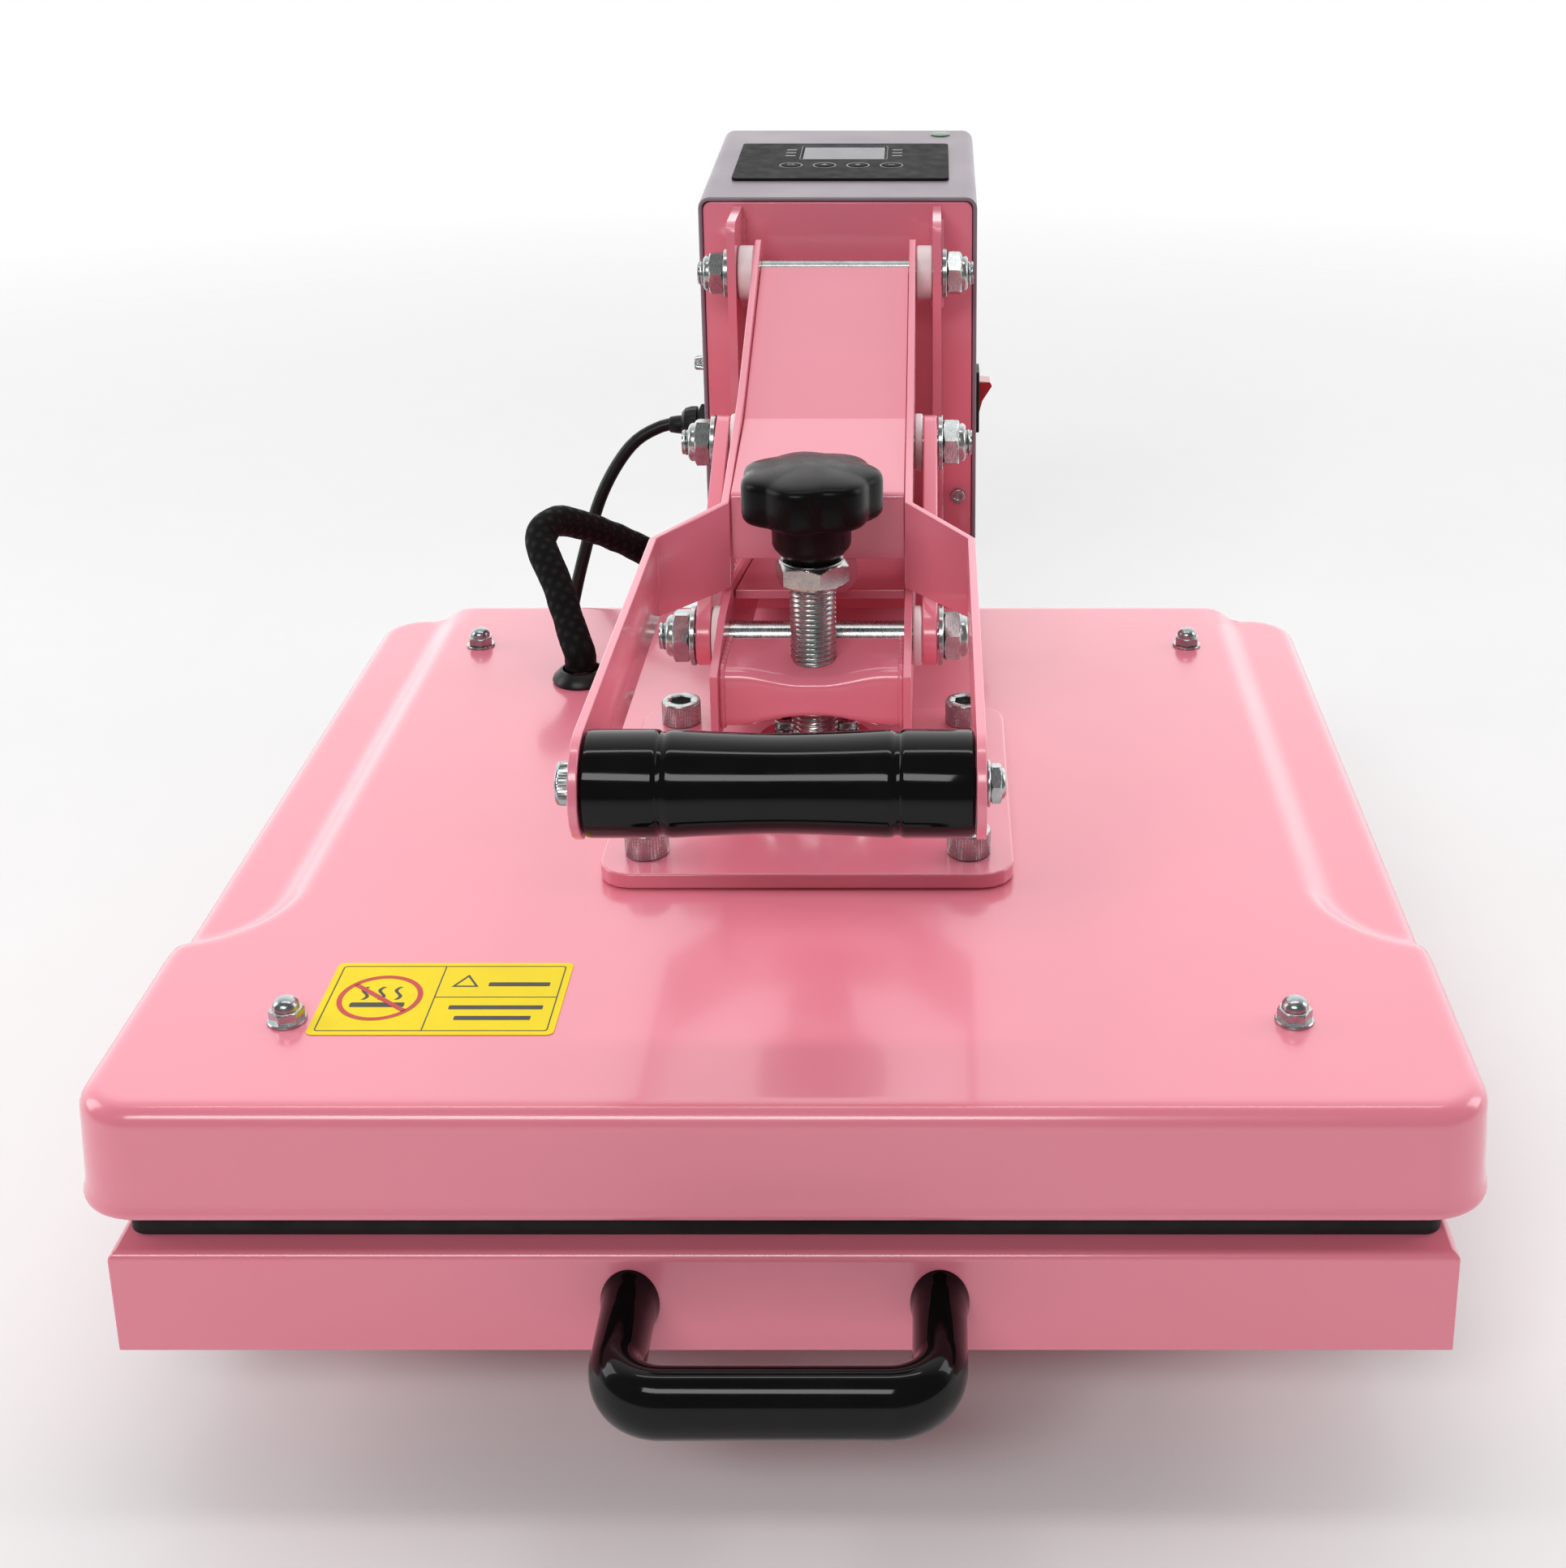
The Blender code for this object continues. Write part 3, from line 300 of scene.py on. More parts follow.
YELLOW_FILM = plastic("yellow_film", *YELLOW, 0.3, 0.4, 900.0, 0.000003, 0.12)
PRINT_BLACK = black("black_ink", 0.010, 0.020, 0.4, 0.5)
PRINT_RED = plastic("red_ink", (0.50, 0.004, 0.006), (0.60, 0.008, 0.010), 0.35, 0.45)
PRINT_GREY = plastic("grey_ink", (0.20, 0.20, 0.21), (0.28, 0.28, 0.29), 0.4, 0.5)
GREEN_DOT = plastic("green_film", (0.004, 0.10, 0.03), (0.006, 0.14, 0.045), 0.2, 0.3)


# ---------------------------------------------------------------- mesh tools


def loft(bm, rings, closed=False):
    """Skins rings of equally many points: a face over each end, or the last ring joined to the first."""
    rows = [[bm.verts.new(p) for p in ring] for ring in rings]
    count = len(rings[0])
    following = rows[1:] + rows[:1] if closed else rows[1:]
    for one, two in zip(rows, following):
        for i in range(count):
            j = (i + 1) % count
            bm.faces.new((one[i], one[j], two[j], two[i]))
    if not closed:
        bm.faces.new(rows[0][::-1])
        bm.faces.new(rows[-1])


def around(count):
    return [math.tau * i / count for i in range(count)]


def polar(count, height, radius_at):
    """A ring about Z whose radius is a function of the angle."""
    return [(radius_at(a) * math.cos(a), radius_at(a) * math.sin(a), height) for a in around(count)]


def turn(bm, profile, count=56, closed=False, wave=None):
    """A body of revolution about Z from (radius, height) points, which may be rippled by wave(angle, height).

    A closed profile leaves a hole through it.
    """
    rings = []
    for radius, height in profile:
        rings.append(polar(count, height, lambda a: radius * (wave(a, height) if wave else 1.0)))
    loft(bm, rings, closed)


def washer(bm, outer, inner, low, high, count=56, edge=0.0003):
    """A flat ring about Z with its corners broken."""
    lower = [(inner, low), (outer - edge, low), (outer, low + edge)]
    upper = [(outer, high - edge), (outer - edge, high), (inner, high)]
    turn(bm, lower + upper, count, True)


def six_sided(flats, angle):
    """Radius of a regular hexagon at an angle."""
    return flats / 2 / math.cos(angle % (math.pi / 3) - math.pi / 6)


def hexagon(bm, flats, low, high, chamfers=(True, True), count=72):
    """A six-sided body about Z, its corners cut back by a cone at each chamfered end."""
    corner, face = flats / math.sqrt(3), flats * 0.475
    depth = (corner - face) * 0.58
    cone = [(depth * k / 4, face + (corner - face) * k / 4) for k in range(5)]
    levels = [(low + up, limit if chamfers[0] else corner) for up, limit in cone]
    levels += [(high - down, limit if chamfers[1] else corner) for down, limit in reversed(cone)]
    rings = []
    for height, limit in levels:
        rings.append(polar(count, height, lambda a: min(six_sided(flats, a), limit)))
    loft(bm, rings)


def thread(bm, radius, low, high, pitch, depth, count=40):
    """A threaded rod about Z: a real helix, with a plain cone at each end."""
    steps = max(2, round((high - low) / pitch * 6))
    rings = []
    for k in range(steps + 1):
        height = low + (high - low) * k / steps
        fade = min(1.0, k / 4, (steps - k) / 4)

        def flank(angle):
            phase = (height / pitch - angle / math.tau) % 1.0
            return radius - depth * (1 - fade) - depth * fade * abs(2 * phase - 1)

        rings.append(polar(count, height, flank))
    loft(bm, rings)


def socket_cap(bm, radius, low, high, flats):
    """Head of a socket screw about Z: knurled side, rounded rim and a six-sided recess."""
    count = 96
    edge = 0.0007

    def ring(r, height, knurl=0.0):
        return polar(count, height, lambda a: r + knurl * math.cos(a * count / 2))

    knurled = (ring(radius, low + 0.0003, 0.00014), ring(radius, high - 1.8 * edge, 0.00014))
    rings = [ring(radius - 0.0002, low), *knurled]
    for k in range(5):
        angle = k * math.pi / 8
        rings.append(ring(radius - edge * (1 - math.cos(angle)), high - edge * (1 - math.sin(angle))))
    rings.append(ring(flats * 0.62, high))
    for height in (high - 0.0004, high - (high - low) * 0.55):
        rings.append(polar(count, height, lambda a: six_sided(flats, a)))
    loft(bm, rings)


def dome_nut(bm, flats, high):
    """Acorn nut with a washer face, standing on z = 0 about Z."""
    washer(bm, flats * 0.64, flats * 0.2, 0.0, 0.0011)
    hexagon(bm, flats, 0.0011, high * 0.55, (False, True))
    radius = flats * 0.44
    start = high * 0.50
    rise = high - start
    profile = [(radius, start)]
    for k in range(10):
        angle = k * math.pi / 20
        profile.append((radius * math.cos(angle), start + rise * 0.25 + rise * 0.75 * math.sin(angle)))
    profile.append((radius * 0.05, high))
    turn(bm, profile, 48)


def nyloc(bm, flats, low, high):
    """Lock nut about Z, with a domed collar at its outer end."""
    collar = high - (high - low) * 0.28
    hexagon(bm, flats, low, collar)
    r = flats * 0.44
    wall = [(r, collar - 0.0002), (r, high - 0.0014)]
    turn(bm, wall + [(r - 0.0005, high - 0.0005), (r - 0.0014, high), (r * 0.5, high)], 48)


def outline_arc(centre, radius, start, stop, count):
    """Points from one angle to another, in degrees."""
    angles = [math.radians(start + (stop - start) * i / (count - 1)) for i in range(count)]
    return [Vector((centre[0] + radius * math.cos(a), centre[1] + radius * math.sin(a))) for a in angles]


def rounded(low, high, r, count=8):
    """Outline of a rectangle with round corners, count points in each."""
    (x0, y0), (x1, y1) = low, high
    corners = ((x1 - r, y1 - r), (x0 + r, y1 - r), (x0 + r, y0 + r), (x1 - r, y0 + r))
    points = []
    for quarter, centre in enumerate(corners):
        points += outline_arc(centre, r, 90 * quarter, 90 * quarter + 90, count)
    return points


def prism(bm, outline, low, high):
    loft(bm, [[(p[0], p[1], z) for p in outline] for z in (low, high)])


def band(bm, outer, inner, low, high):
    """A flat frame between two outlines of equally many points."""
    lines = ((outer, low), (outer, high), (inner, high), (inner, low))
    loft(bm, [[(p[0], p[1], z) for p in line] for line, z in lines], True)


AXES = {
    "X": Matrix.Rotation(math.pi / 2, 4, "Y"),
    "-X": Matrix.Rotation(-math.pi / 2, 4, "Y"),
    "-Y": Matrix.Rotation(math.pi / 2, 4, "X"),
    "Z": Matrix.Identity(4),
}


def at(location, axis="Z"):
    return Matrix.Translation(Vector(location)) @ AXES[axis]


def sideways(where, side):
    """Place of a piece on a cross bolt, its own Z pointing outwards."""
    return at((0, where.y, where.z), "X" if side > 0 else "-X")


def spin(degrees):
    return Matrix.Rotation(math.radians(degrees), 4, "Z")


def heading(points, i):
    """Direction of an open path at one of its points."""
    return (points[min(i + 1, len(points) - 1)] - points[max(i - 1, 0)]).normalized()


def oval(place, side, up, wide, tall, count):
    """A ring round a path's point."""
    return [place + side * (wide * math.cos(a)) + up * (tall * math.sin(a)) for a in around(count)]


def corner_word(x, y, centre=0.0):
    return f"{'left' if x < 0 else 'right'}_{'front' if y < centre else 'rear'}"


def linked(name, data):
    """A new object, linked to the scene."""
    made = bpy.data.objects.new(name, data)
    bpy.context.scene.collection.objects.link(made)
    return made


def piece(name, bm, finish, body, nodes=(), place=None, sharp=32):
    """Makes an object of a bmesh, rides it on its body and lets it stand for CAD nodes."""
    bmesh.ops.recalc_face_normals(bm, faces=bm.faces)
    data = bpy.data.meshes.new(name)
    bm.to_mesh(data)
    bm.free()
    data.shade_smooth()
    data.set_sharp_from_angle(angle=math.radians(sharp))
    data.materials.append(FINISH[finish] if isinstance(finish, str) else finish)
    made = linked(name, data)
    if place is not None:
        made.matrix_world = place
    if body:
        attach(made, body)
    if nodes:
        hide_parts(*nodes)
    return made


def bevel(made, width, segments=3):
    edges = made.modifiers.new("edges", "BEVEL")
    edges.width = width
    edges.segments = segments
    edges.limit_method = "ANGLE"
    edges.angle_limit = math.radians(30)
    edges.harden_normals = True
    return made


def refine(node, finish, width=0.0005, segments=3, round_top=0.0):
    """A copy of a CAD node with its flat faces merged and its edges rounded, standing for the node."""
    bm = bmesh.new()
    bm.from_mesh(NODES[node].data)
    bmesh.ops.remove_doubles(bm, verts=bm.verts, dist=0.00001)
    bmesh.ops.dissolve_limit(bm, angle_limit=math.radians(0.5), verts=bm.verts, edges=bm.edges)
    if round_top:
        top = max(v.co.z for v in bm.verts) - 0.0001
        rim = [e for e in bm.edges if all(v.co.z > top for v in e.verts) and e.calc_face_angle(0) > 1]
        bmesh.ops.bevel(bm, geom=rim, offset=round_top, segments=6, profile=0.5, affect="EDGES")
    made = piece(f"{node}_body", bm, finish, NODES[node]["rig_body"], [node])
    return bevel(made, width, segments)


# ---------------------------------------------------------------- camera, stage and light


def make_camera():
    """Standing height at a bench, looking down 18 degrees, framed low and to the left."""
    data = bpy.data.cameras.new("camera")
    data.lens = 50.83
    data.sensor_width = 36.0
    data.shift_x = -0.0966
    data.shift_y = -0.1894
    made = linked("camera", data)
    made.location = (0.0468, -0.8675, 0.525)
    made.rotation_euler = (math.radians(72), 0, 0)
    bpy.context.scene.camera = made


def make_stage():
    """A pale disc that fades out before its far edge."""
    bm = bmesh.new()
    bmesh.ops.create_circle(bm, cap_ends=True, radius=3.0, segments=64)
    paint = Surface("pale_floor")
    paint.tint(paint.noise(3.0), (0.3, 0.90, 0.90, 0.90), (0.7, 0.92, 0.92, 0.92))
    paint.gloss(paint.noise(40.0), 0.6, 0.7)
    reach = paint.add("ShaderNodeVectorMath", operation="LENGTH")
    paint.join(paint.place, reach.inputs[0])
    fade = paint.spread(reach.outputs["Value"], 0.0, 1.0, 0.75, 1.9)
    clear = paint.add("ShaderNodeBsdfTransparent").outputs["BSDF"]
    faded = paint.mix(fade, paint.shader.outputs["BSDF"], clear)
    paint.join(faded, paint.tree.nodes["Material Output"].inputs["Surface"])
    floor = piece("floor", bm, paint.made, None)
    floor.location.z = -0.0001


def make_world():
    """White to the eye; as light it is bright behind the press and dim in front of it."""
    world = bpy.data.worlds.new("studio")
    bpy.context.scene.world = world
    world.use_nodes = True
    world.node_tree.nodes.clear()
    sky = Nodes(world.node_tree)
    parts = sky.add("ShaderNodeSeparateXYZ")
    sky.join(sky.add("ShaderNodeTexCoord").outputs["Generated"], parts.inputs["Vector"])
    dim = sky.add("ShaderNodeBackground", Color=(1, 1, 1, 1))
    sky.join(sky.spread(parts.outputs["Y"], 0.18, 1.65, -0.1, 0.75), dim.inputs["Strength"])
    bright = sky.add("ShaderNodeBackground", Color=(1, 1, 1, 1))
    seen = sky.add("ShaderNodeLightPath").outputs["Is Camera Ray"]
    mixed = sky.mix(seen, dim.outputs["Background"], bright.outputs["Background"])
    sky.join(mixed, sky.add("ShaderNodeOutputWorld").inputs["Surface"])
    bpy.context.scene.view_settings.view_transform = "Standard"


def make_light(name, location, target, size, power):
    data = bpy.data.lights.new(name, "AREA")
    data.shape = "RECTANGLE"
    data.size, data.size_y = size
    data.energy = power
    made = linked(name, data)
    made.location = location
    made.rotation_euler = (Vector(target) - Vector(location)).to_track_quat("-Z", "Y").to_euler()


def make_lights():
    make_light("top_softbox", (0.0, -0.05, 1.9), (0, 0, 0.1), (1.6, 0.14), 5.0)
    make_light("front_softbox", (-0.4, -1.9, 1.55), (0, -0.2, 0.15), (1.3, 0.5), 18.0)
    make_light("left_softbox", (-1.9, 0.1, 0.9), (0, 0, 0.15), (0.7, 1.1), 8.0)
    make_light("right_softbox", (1.9, 0.2, 0.9), (0, 0, 0.15), (0.7, 1.1), 8.0)


# ---------------------------------------------------------------- cords

CORD_R = 0.00325
GLAND = Vector((BOX_LOW.x, 0.2245, 0.204))
COIL = Vector((-0.202, 0.232, 0.0))
COIL_TURN_R = (0.0325, 0.039, 0.0455)
COIL_END = 1890
CORD_FLOOR = CORD_R + GAP
CORD_UPPER = 3 * CORD_R + GAP
GROMMET = Vector((-0.111, 0.0475, LID_TOP))
SLEEVE_R = 0.007


def smooth_route(points, spacing):
    """Points on a smooth curve through the given ones."""
    ends = [2 * points[0] - points[1], *points, 2 * points[-1] - points[-2]]
    fine = []
    for a, b, c, d in zip(ends, ends[1:], ends[2:], ends[3:]):
        steps = max(2, round((c - b).length / spacing))
        for i in range(steps):
            t = i / steps
            square = 2 * a - 5 * b + 4 * c - d
            cube = 3 * b - a - 3 * c + d
            fine.append(0.5 * (2 * b + (c - a) * t + square * t**2 + cube * t**3))
    fine.append(points[-1])
    return fine


def coil_turns():
    """Clockwise turns from the south side: three inwards on the floor, then three outwards on top of them.

    Each change of turn takes an eighth to a quarter of a turn, in a sector of its own.
    """
    inner, mid, outer = COIL_TURN_R
    inwards = ((0, outer), (270, outer), (350, mid), (630, mid), (710, inner))
    outwards = ((1180, inner), (1260, mid), (1540, mid), (1620, outer), (COIL_END, outer))
    heights = ((0, CORD_FLOOR), (910, CORD_FLOOR), (990, CORD_UPPER), (COIL_END, CORD_UPPER))

    def level(table, angle):
        for (start, low), (stop, high) in zip(table, table[1:]):
            if angle <= stop:
                t = (angle - start) / (stop - start)
                return low + (high - low) * t * t * (3 - 2 * t)
        return table[-1][1]

    points = []
    for angle in range(10, COIL_END, 10):
        turned_by = math.radians(angle)
        r = level(inwards + outwards, angle)
        east, north = -r * math.sin(turned_by), -r * math.cos(turned_by)
        points.append(Vector((COIL.x + east, COIL.y + north, level(heights, angle))))
    return points


def make_power_cord():
    south = Vector((COIL.x, COIL.y - COIL_TURN_R[-1], CORD_FLOOR))
    falling = (
        (-0.0158, 0, 0),
        (-0.0260, 0, -0.0010),
        (-0.0420, -0.0020, -0.0110),
        (-0.0570, -0.0070, -0.0350),
        (-0.0680, -0.0130, -0.0700),
        (-0.0760, -0.0200, -0.1050),
        (-0.0835, -0.0280, -0.1450),
    )
    route = [GLAND + Vector(p) for p in falling]
    route += [Vector((-0.1580, 0.1895, 0.0300)), Vector((-0.1700, 0.1868, 0.0100))]
    route += [Vector((-0.1850, south.y, CORD_FLOOR)), south]
    plug_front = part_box("power_plug")[0].y
    west = Vector((COIL.x - COIL_TURN_R[-1], COIL.y, CORD_UPPER))
    tail = [west, west + Vector((0, 0.014, -0.0001)), Vector((west.x, plug_front + 0.004, 0.0098))]
    points = smooth_route(route, 0.004) + coil_turns() + smooth_route(tail, 0.004)
    data = bpy.data.curves.new("power_cord_lead", "CURVE")
    data.dimensions = "3D"
    data.bevel_depth = CORD_R
    data.bevel_resolution = 6
    data.use_fill_caps = True
    spline = data.splines.new("POLY")
    spline.points.add(len(points) - 1)
    for point, place in zip(spline.points, points):
        point.co = (*place, 1)
    spline.use_smooth = True
    data.materials.append(FINISH["black_rubber"])
    lead = linked("power_cord_lead", data)
    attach(lead, "root")
    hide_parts("power_cord", "power_cord_coil")
    plug = make_plug(plug_front)
    tie = make_coil_tie()


def make_plug(start):
    """Moulded plug: ribbed strain relief, rounded body with a waist, two blades and an earth pin."""
    x = COIL.x - COIL_TURN_R[-1]
    bm = bmesh.new()
    sections = [(0.0, 0.0042, 0.0042, 0.0098)]
    ribs = ((0.0, 0.0, 0.0), (0.0006, -0.0006, 0.0001), (0.0018, -0.0006, 0.0002), (0.0024, 0.0003, 0.0002))
    for k in range(6):
        for step, swell, lift in ribs:
            half = 0.0042 + 0.0003 * k + swell
            sections.append((0.002 + 0.0035 * k + step, half, half, 0.0098 + 0.0003 * k + lift))
    sections += [(0.0250, 0.0072, 0.0068, 0.0118), (0.0300, 0.0105, 0.0095, 0.0125)]
    sections += [(0.0350, 0.0132, 0.0113, 0.0125), (0.0380, 0.0135, 0.0115, 0.0125)]
    sections += [(0.0500, 0.0130, 0.0111, 0.0125), (0.0570, 0.0135, 0.0115, 0.0125)]
    sections += [(0.0590, 0.0133, 0.0113, 0.0125), (0.0600, 0.0125, 0.0105, 0.0125)]
    rings = []
    for y, w, h, z in sections:
        outline = rounded((-w, -h), (w, h), min(w, h) * 0.75, 7)
        rings.append([(x + p.x, start + y, z + p.y) for p in outline])
    loft(bm, rings)
    plug = piece("plug_moulding", bm, "black_matt_plastic", "root", ["power_plug"])
    bm = bmesh.new()
    end = start + 0.060
    for side in (-1, 1):
        middle_x = x + side * 0.0064
        blade = rounded((middle_x - 0.0008, 0.0113), (middle_x + 0.0008, 0.0177), 0.0004, 3)
        loft(bm, [[(p.x, y, p.y) for p in blade] for y in (end - 0.002, end + 0.017)])
    pin = [(0.0024, -0.002), (0.0024, 0.0175), (0.0018, 0.0187), (0.0008, 0.019)]
    across, up = Vector((1, 0, 0)), Vector((0, 0, 1))
    loft(bm, [oval(Vector((x, end + out, 0.0062)), across, up, r, r, 24) for r, out in pin])
    blades = piece("plug_blades", bm, "zinc_steel", "root")
    blades.parent = plug
    blades.matrix_parent_inverse = plug.matrix_world.inverted()
    return plug


def make_coil_tie():
    """Twist tie round the bundle of turns, on the coil's north side."""
    bm = bmesh.new()
    centre = Vector((COIL.x, COIL.y + COIL_TURN_R[1], (CORD_FLOOR + CORD_UPPER) / 2))
    half = Vector((COIL_TURN_R[-1] - COIL_TURN_R[0], CORD_UPPER - CORD_FLOOR)) / 2
    half += Vector((CORD_R + 0.0001, CORD_R))
    path = rounded(-half, half, CORD_R, 7)
    rings = []
    for i, p in enumerate(path):
        ahead = path[(i + 1) % len(path)] - path[i - 1]
        out = Vector((ahead.y, -ahead.x)).normalized() * 0.00028
        q = p + out if (p + out).length > p.length else p - out
        corners = ((-0.002, p), (0.002, p), (0.002, q), (-0.002, q))
        rings.append([(centre.x + w, centre.y + v.x, centre.z + v.y) for w, v in corners])
    loft(bm, rings, True)
    return piece("coil_tie", bm, "black_matt_plastic", "root")


def make_gland():
    """Cable gland: hexagon base, fluted dome nut and a tapered sleeve round the cord."""
    bm = bmesh.new()
    hexagon(bm, 0.0190, GAP, 0.0062)
    nut = [(0.0080, 0.0060), (0.0080, 0.0070), (0.0094, 0.0074), (0.0094, 0.0105)]
    nut += [(0.0086, 0.0135), (0.0066, 0.0152), (0.0048, 0.0156)]
    turn(bm, nut, 96, wave=lambda a, h: 1.0 + (0.018 * math.cos(16 * a) if 0.007 < h < 0.012 else 0.0))
    turn(bm, [(0.0048, 0.0150), (0.0046, 0.0180), (0.0041, 0.0212), (0.0036, 0.0218)], 40)
    piece("gland_moulding", bm, "black_matt_plastic", "root", ["cord_gland"], at(GLAND, "-X"))


def make_harness():
    """Braided sleeve that goes into the cover's grommet, bends over and ends in the control box's wall."""
    offsets = (
        (0, 0, 0.0066),
        (0, 0, 0.0096),
        (-0.0002, 0.0004, 0.0126),
        (-0.0040, 0.0070, 0.0195),
        (-0.0130, 0.0250, 0.0360),
        (-0.0230, 0.0440, 0.0500),
        (-0.0190, 0.0590, 0.0545),
        (-0.0090, 0.0760, 0.0470),
        (0.0060, 0.0980, 0.0320),
        (0.0210, 0.1210, 0.0140),
        (0.0290, 0.1400, 0.0020),
        (0.0350, 0.1540, -0.0030),
        (0.0430, 0.1630, -0.0052),
        (0.0500, 0.1660, -0.0055),
    )
    route = [GROMMET + Vector(p) for p in offsets]
    points = smooth_route(route, 0.0018)
    count = 40
    side = Vector((1, 0, 0))
    rings, lengths = [], [0.0]
    for i, place in enumerate(points):
        ahead = heading(points, i)
        side = (side - ahead * side.dot(ahead)).normalized()
        up = ahead.cross(side)
        along = lengths[-1]
        lengths.append(along + (points[min(i + 1, len(points) - 1)] - place).length)
        # The sleeve is slightly uneven, except where it goes through the grommet.
        wave = 0.06 * ease((along - 0.010) / 0.020)
        squeeze = 1.0 - wave * math.sin(along * 190) ** 2 * math.sin(along * 61)
        ring = []
        for a in around(count):
            strand = 1.0 + 0.012 * math.cos(10 * a + along * 900) * math.cos(10 * a - along * 900)
            r = SLEEVE_R * strand * squeeze
            ring.append(place + side * (r * math.cos(a)) + up * (r * math.sin(a)))
        rings.append(ring)
    bm = bmesh.new()
    loft(bm, rings)
    bm.faces.ensure_lookup_table()
    uv = bm.loops.layers.uv.new("along")
    for index, face in enumerate(bm.faces):
        row, column = divmod(index, count)
        if row >= len(rings) - 1:
            continue
        corners = ((row, column), (row, column + 1), (row + 1, column + 1), (row + 1, column))
        for loop, (r, c) in zip(face.loops, corners):
            loop[uv].uv = (c / count * 4.0, lengths[r] * 90.0)
    sleeve = piece("harness_sleeve", bm, "black_braid", None, ["wiring_harness"], sharp=80)
    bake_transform(sleeve)
    rubber = bmesh.new()
    foot = [(0.0082, 0.0003), (0.0125, 0.0003), (0.0128, 0.0012), (0.0122, 0.0028)]
    turn(rubber, foot + [(0.0104, 0.0046), (0.0092, 0.0058), (0.0082, 0.0060)], 48, True)
    piece("grommet_ring", rubber, "black_rubber", "platen", ["harness_grommet"], at(GROMMET))
    wall = bmesh.new()
    flange = [(0.0078, 0.0003), (0.0096, 0.0003), (0.0098, 0.0012)]
    turn(wall, flange + [(0.0088, 0.0028), (0.0078, 0.0030)], 48, True)
    entry = Vector((BOX_LOW.x, route[-1].y, route[-1].z))
    piece("wall_ring", wall, "black_rubber", "root", [], at(entry, "-X"))


# ---------------------------------------------------------------- upper platen

LID_EDGE = 0.0068
LID_SHEET = 0.0016
LID_LIP = 0.0021
LID_CORNER = 0.020
SHELF_X = 0.180
SHELF_DROP = 0.007
SHELF_SLOPE = 0.015
SHELF_ARC = 0.047
SHELF_Y = LID_LOW.y + 0.145


def ease(t):
    t = min(max(t, 0.0), 1.0)
    return t * t * (3 - 2 * t)


def lid_height(x, y):
    """Height of the pressed cover: a raised middle and a lowered shelf on each side."""
    if y >= SHELF_Y:
        into = abs(x) - SHELF_X
    else:
        centre = Vector((SHELF_X + SHELF_ARC, SHELF_Y))
        into = SHELF_ARC - (Vector((abs(x), y)) - centre).length
    return LID_TOP - SHELF_DROP * ease(into / SHELF_SLOPE)


def lid_outline(inset):
    """Even points round the cover, set in from its walls."""
    radius = LID_CORNER - inset
    low = (LID_LOW.x + inset, LID_LOW.y + inset)
    high = (LID_HIGH.x - inset, LID_HIGH.y - inset)
    corners = rounded(low, high, radius, 12)
    points = []
    for i, p in enumerate(corners):
        q = corners[(i + 1) % len(corners)]
        steps = 96 if (q - p).length > 0.1 else 1
        points += [p.lerp(q, k / steps) for k in range(steps)]
    return points


def make_lid():
    """Pressed cover, hollow below, with a rolled lip, a rounded edge and the shelves of its top."""
    ceiling = LID_TOP - SHELF_DROP - 0.003
    floor = LID_LOW.z
    inner = lid_outline(LID_SHEET)
    rings = [[(p.x, p.y, z) for p in inner] for z in (ceiling, floor + 0.001)]
    rolled = ((0.7, 0.0), (0.2, 0.0), (-0.5, 0.3), (-0.9, 1.0), (-1.0, 1.9), (-0.9, 2.9))
    blended = ((-0.7, 4.2), (-0.55, 6.0), (-0.4, 11.0))
    for out, up in rolled + blended:
        rings.append([(p.x, p.y, floor + up * MM) for p in lid_outline(out * LID_LIP)])
    for k in range(8):
        angle = k * math.pi / 14
        line = lid_outline(LID_EDGE * (1 - math.cos(angle)))
        drop = LID_EDGE * (1 - math.sin(angle))
        rings.append([(p.x, p.y, lid_height(p.x, p.y) - drop) for p in line])
    rim = lid_outline(LID_EDGE)
    centre = Vector((LID_CENTRE.x, LID_CENTRE.y))
    for scale in [1 - 0.0095 * k for k in range(1, 24)] + [0.70, 0.58, 0.46, 0.34, 0.22, 0.10]:
        line = [centre + (p - centre) * scale for p in rim]
        rings.append([(p.x, p.y, lid_height(p.x, p.y)) for p in line])
    bm = bmesh.new()
    loft(bm, rings)
    piece("lid_pressing", bm, "pink_enamel", "platen", ["lid_cover"], sharp=50)


def make_lid_nuts():
    """Four acorn nuts near the corners of the raised middle, each turned its own way."""
    across, front, rear = 0.164, -0.2355, 0.0885
    for x in (-across, across):
        for y in (front, rear):
            bm = bmesh.new()
            dome_nut(bm, 0.0100, 0.0088)
            place = at((x, y, LID_TOP)) @ spin(17 + 40 * (x > 0) + 25 * (y > 0))
            piece(f"lid_nut_{corner_word(x, y)}", bm, "zinc_steel", "platen", (), place)


def make_label():
    """Plain yellow plate: border, a struck-out ring over a hot plate sign and blank bars, no lettering."""
    low, high = Vector((-0.156, LID_LOW.y + 0.043)), Vector((-0.076, LID_LOW.y + 0.088))
    centre = (low + high) / 2
    half = (high - low) / 2
    spot = at((centre.x, centre.y, LID_TOP))
    bm = bmesh.new()
    prism(bm, rounded(-half, half, 0.0022), 0.00005, 0.00030)
    piece("label_plate", bm, YELLOW_FILM, "platen", (), spot)
    ring_at = Vector((-0.0210, 0.0))
    make_label_black(half, ring_at, spot)
    make_label_red(ring_at, spot)


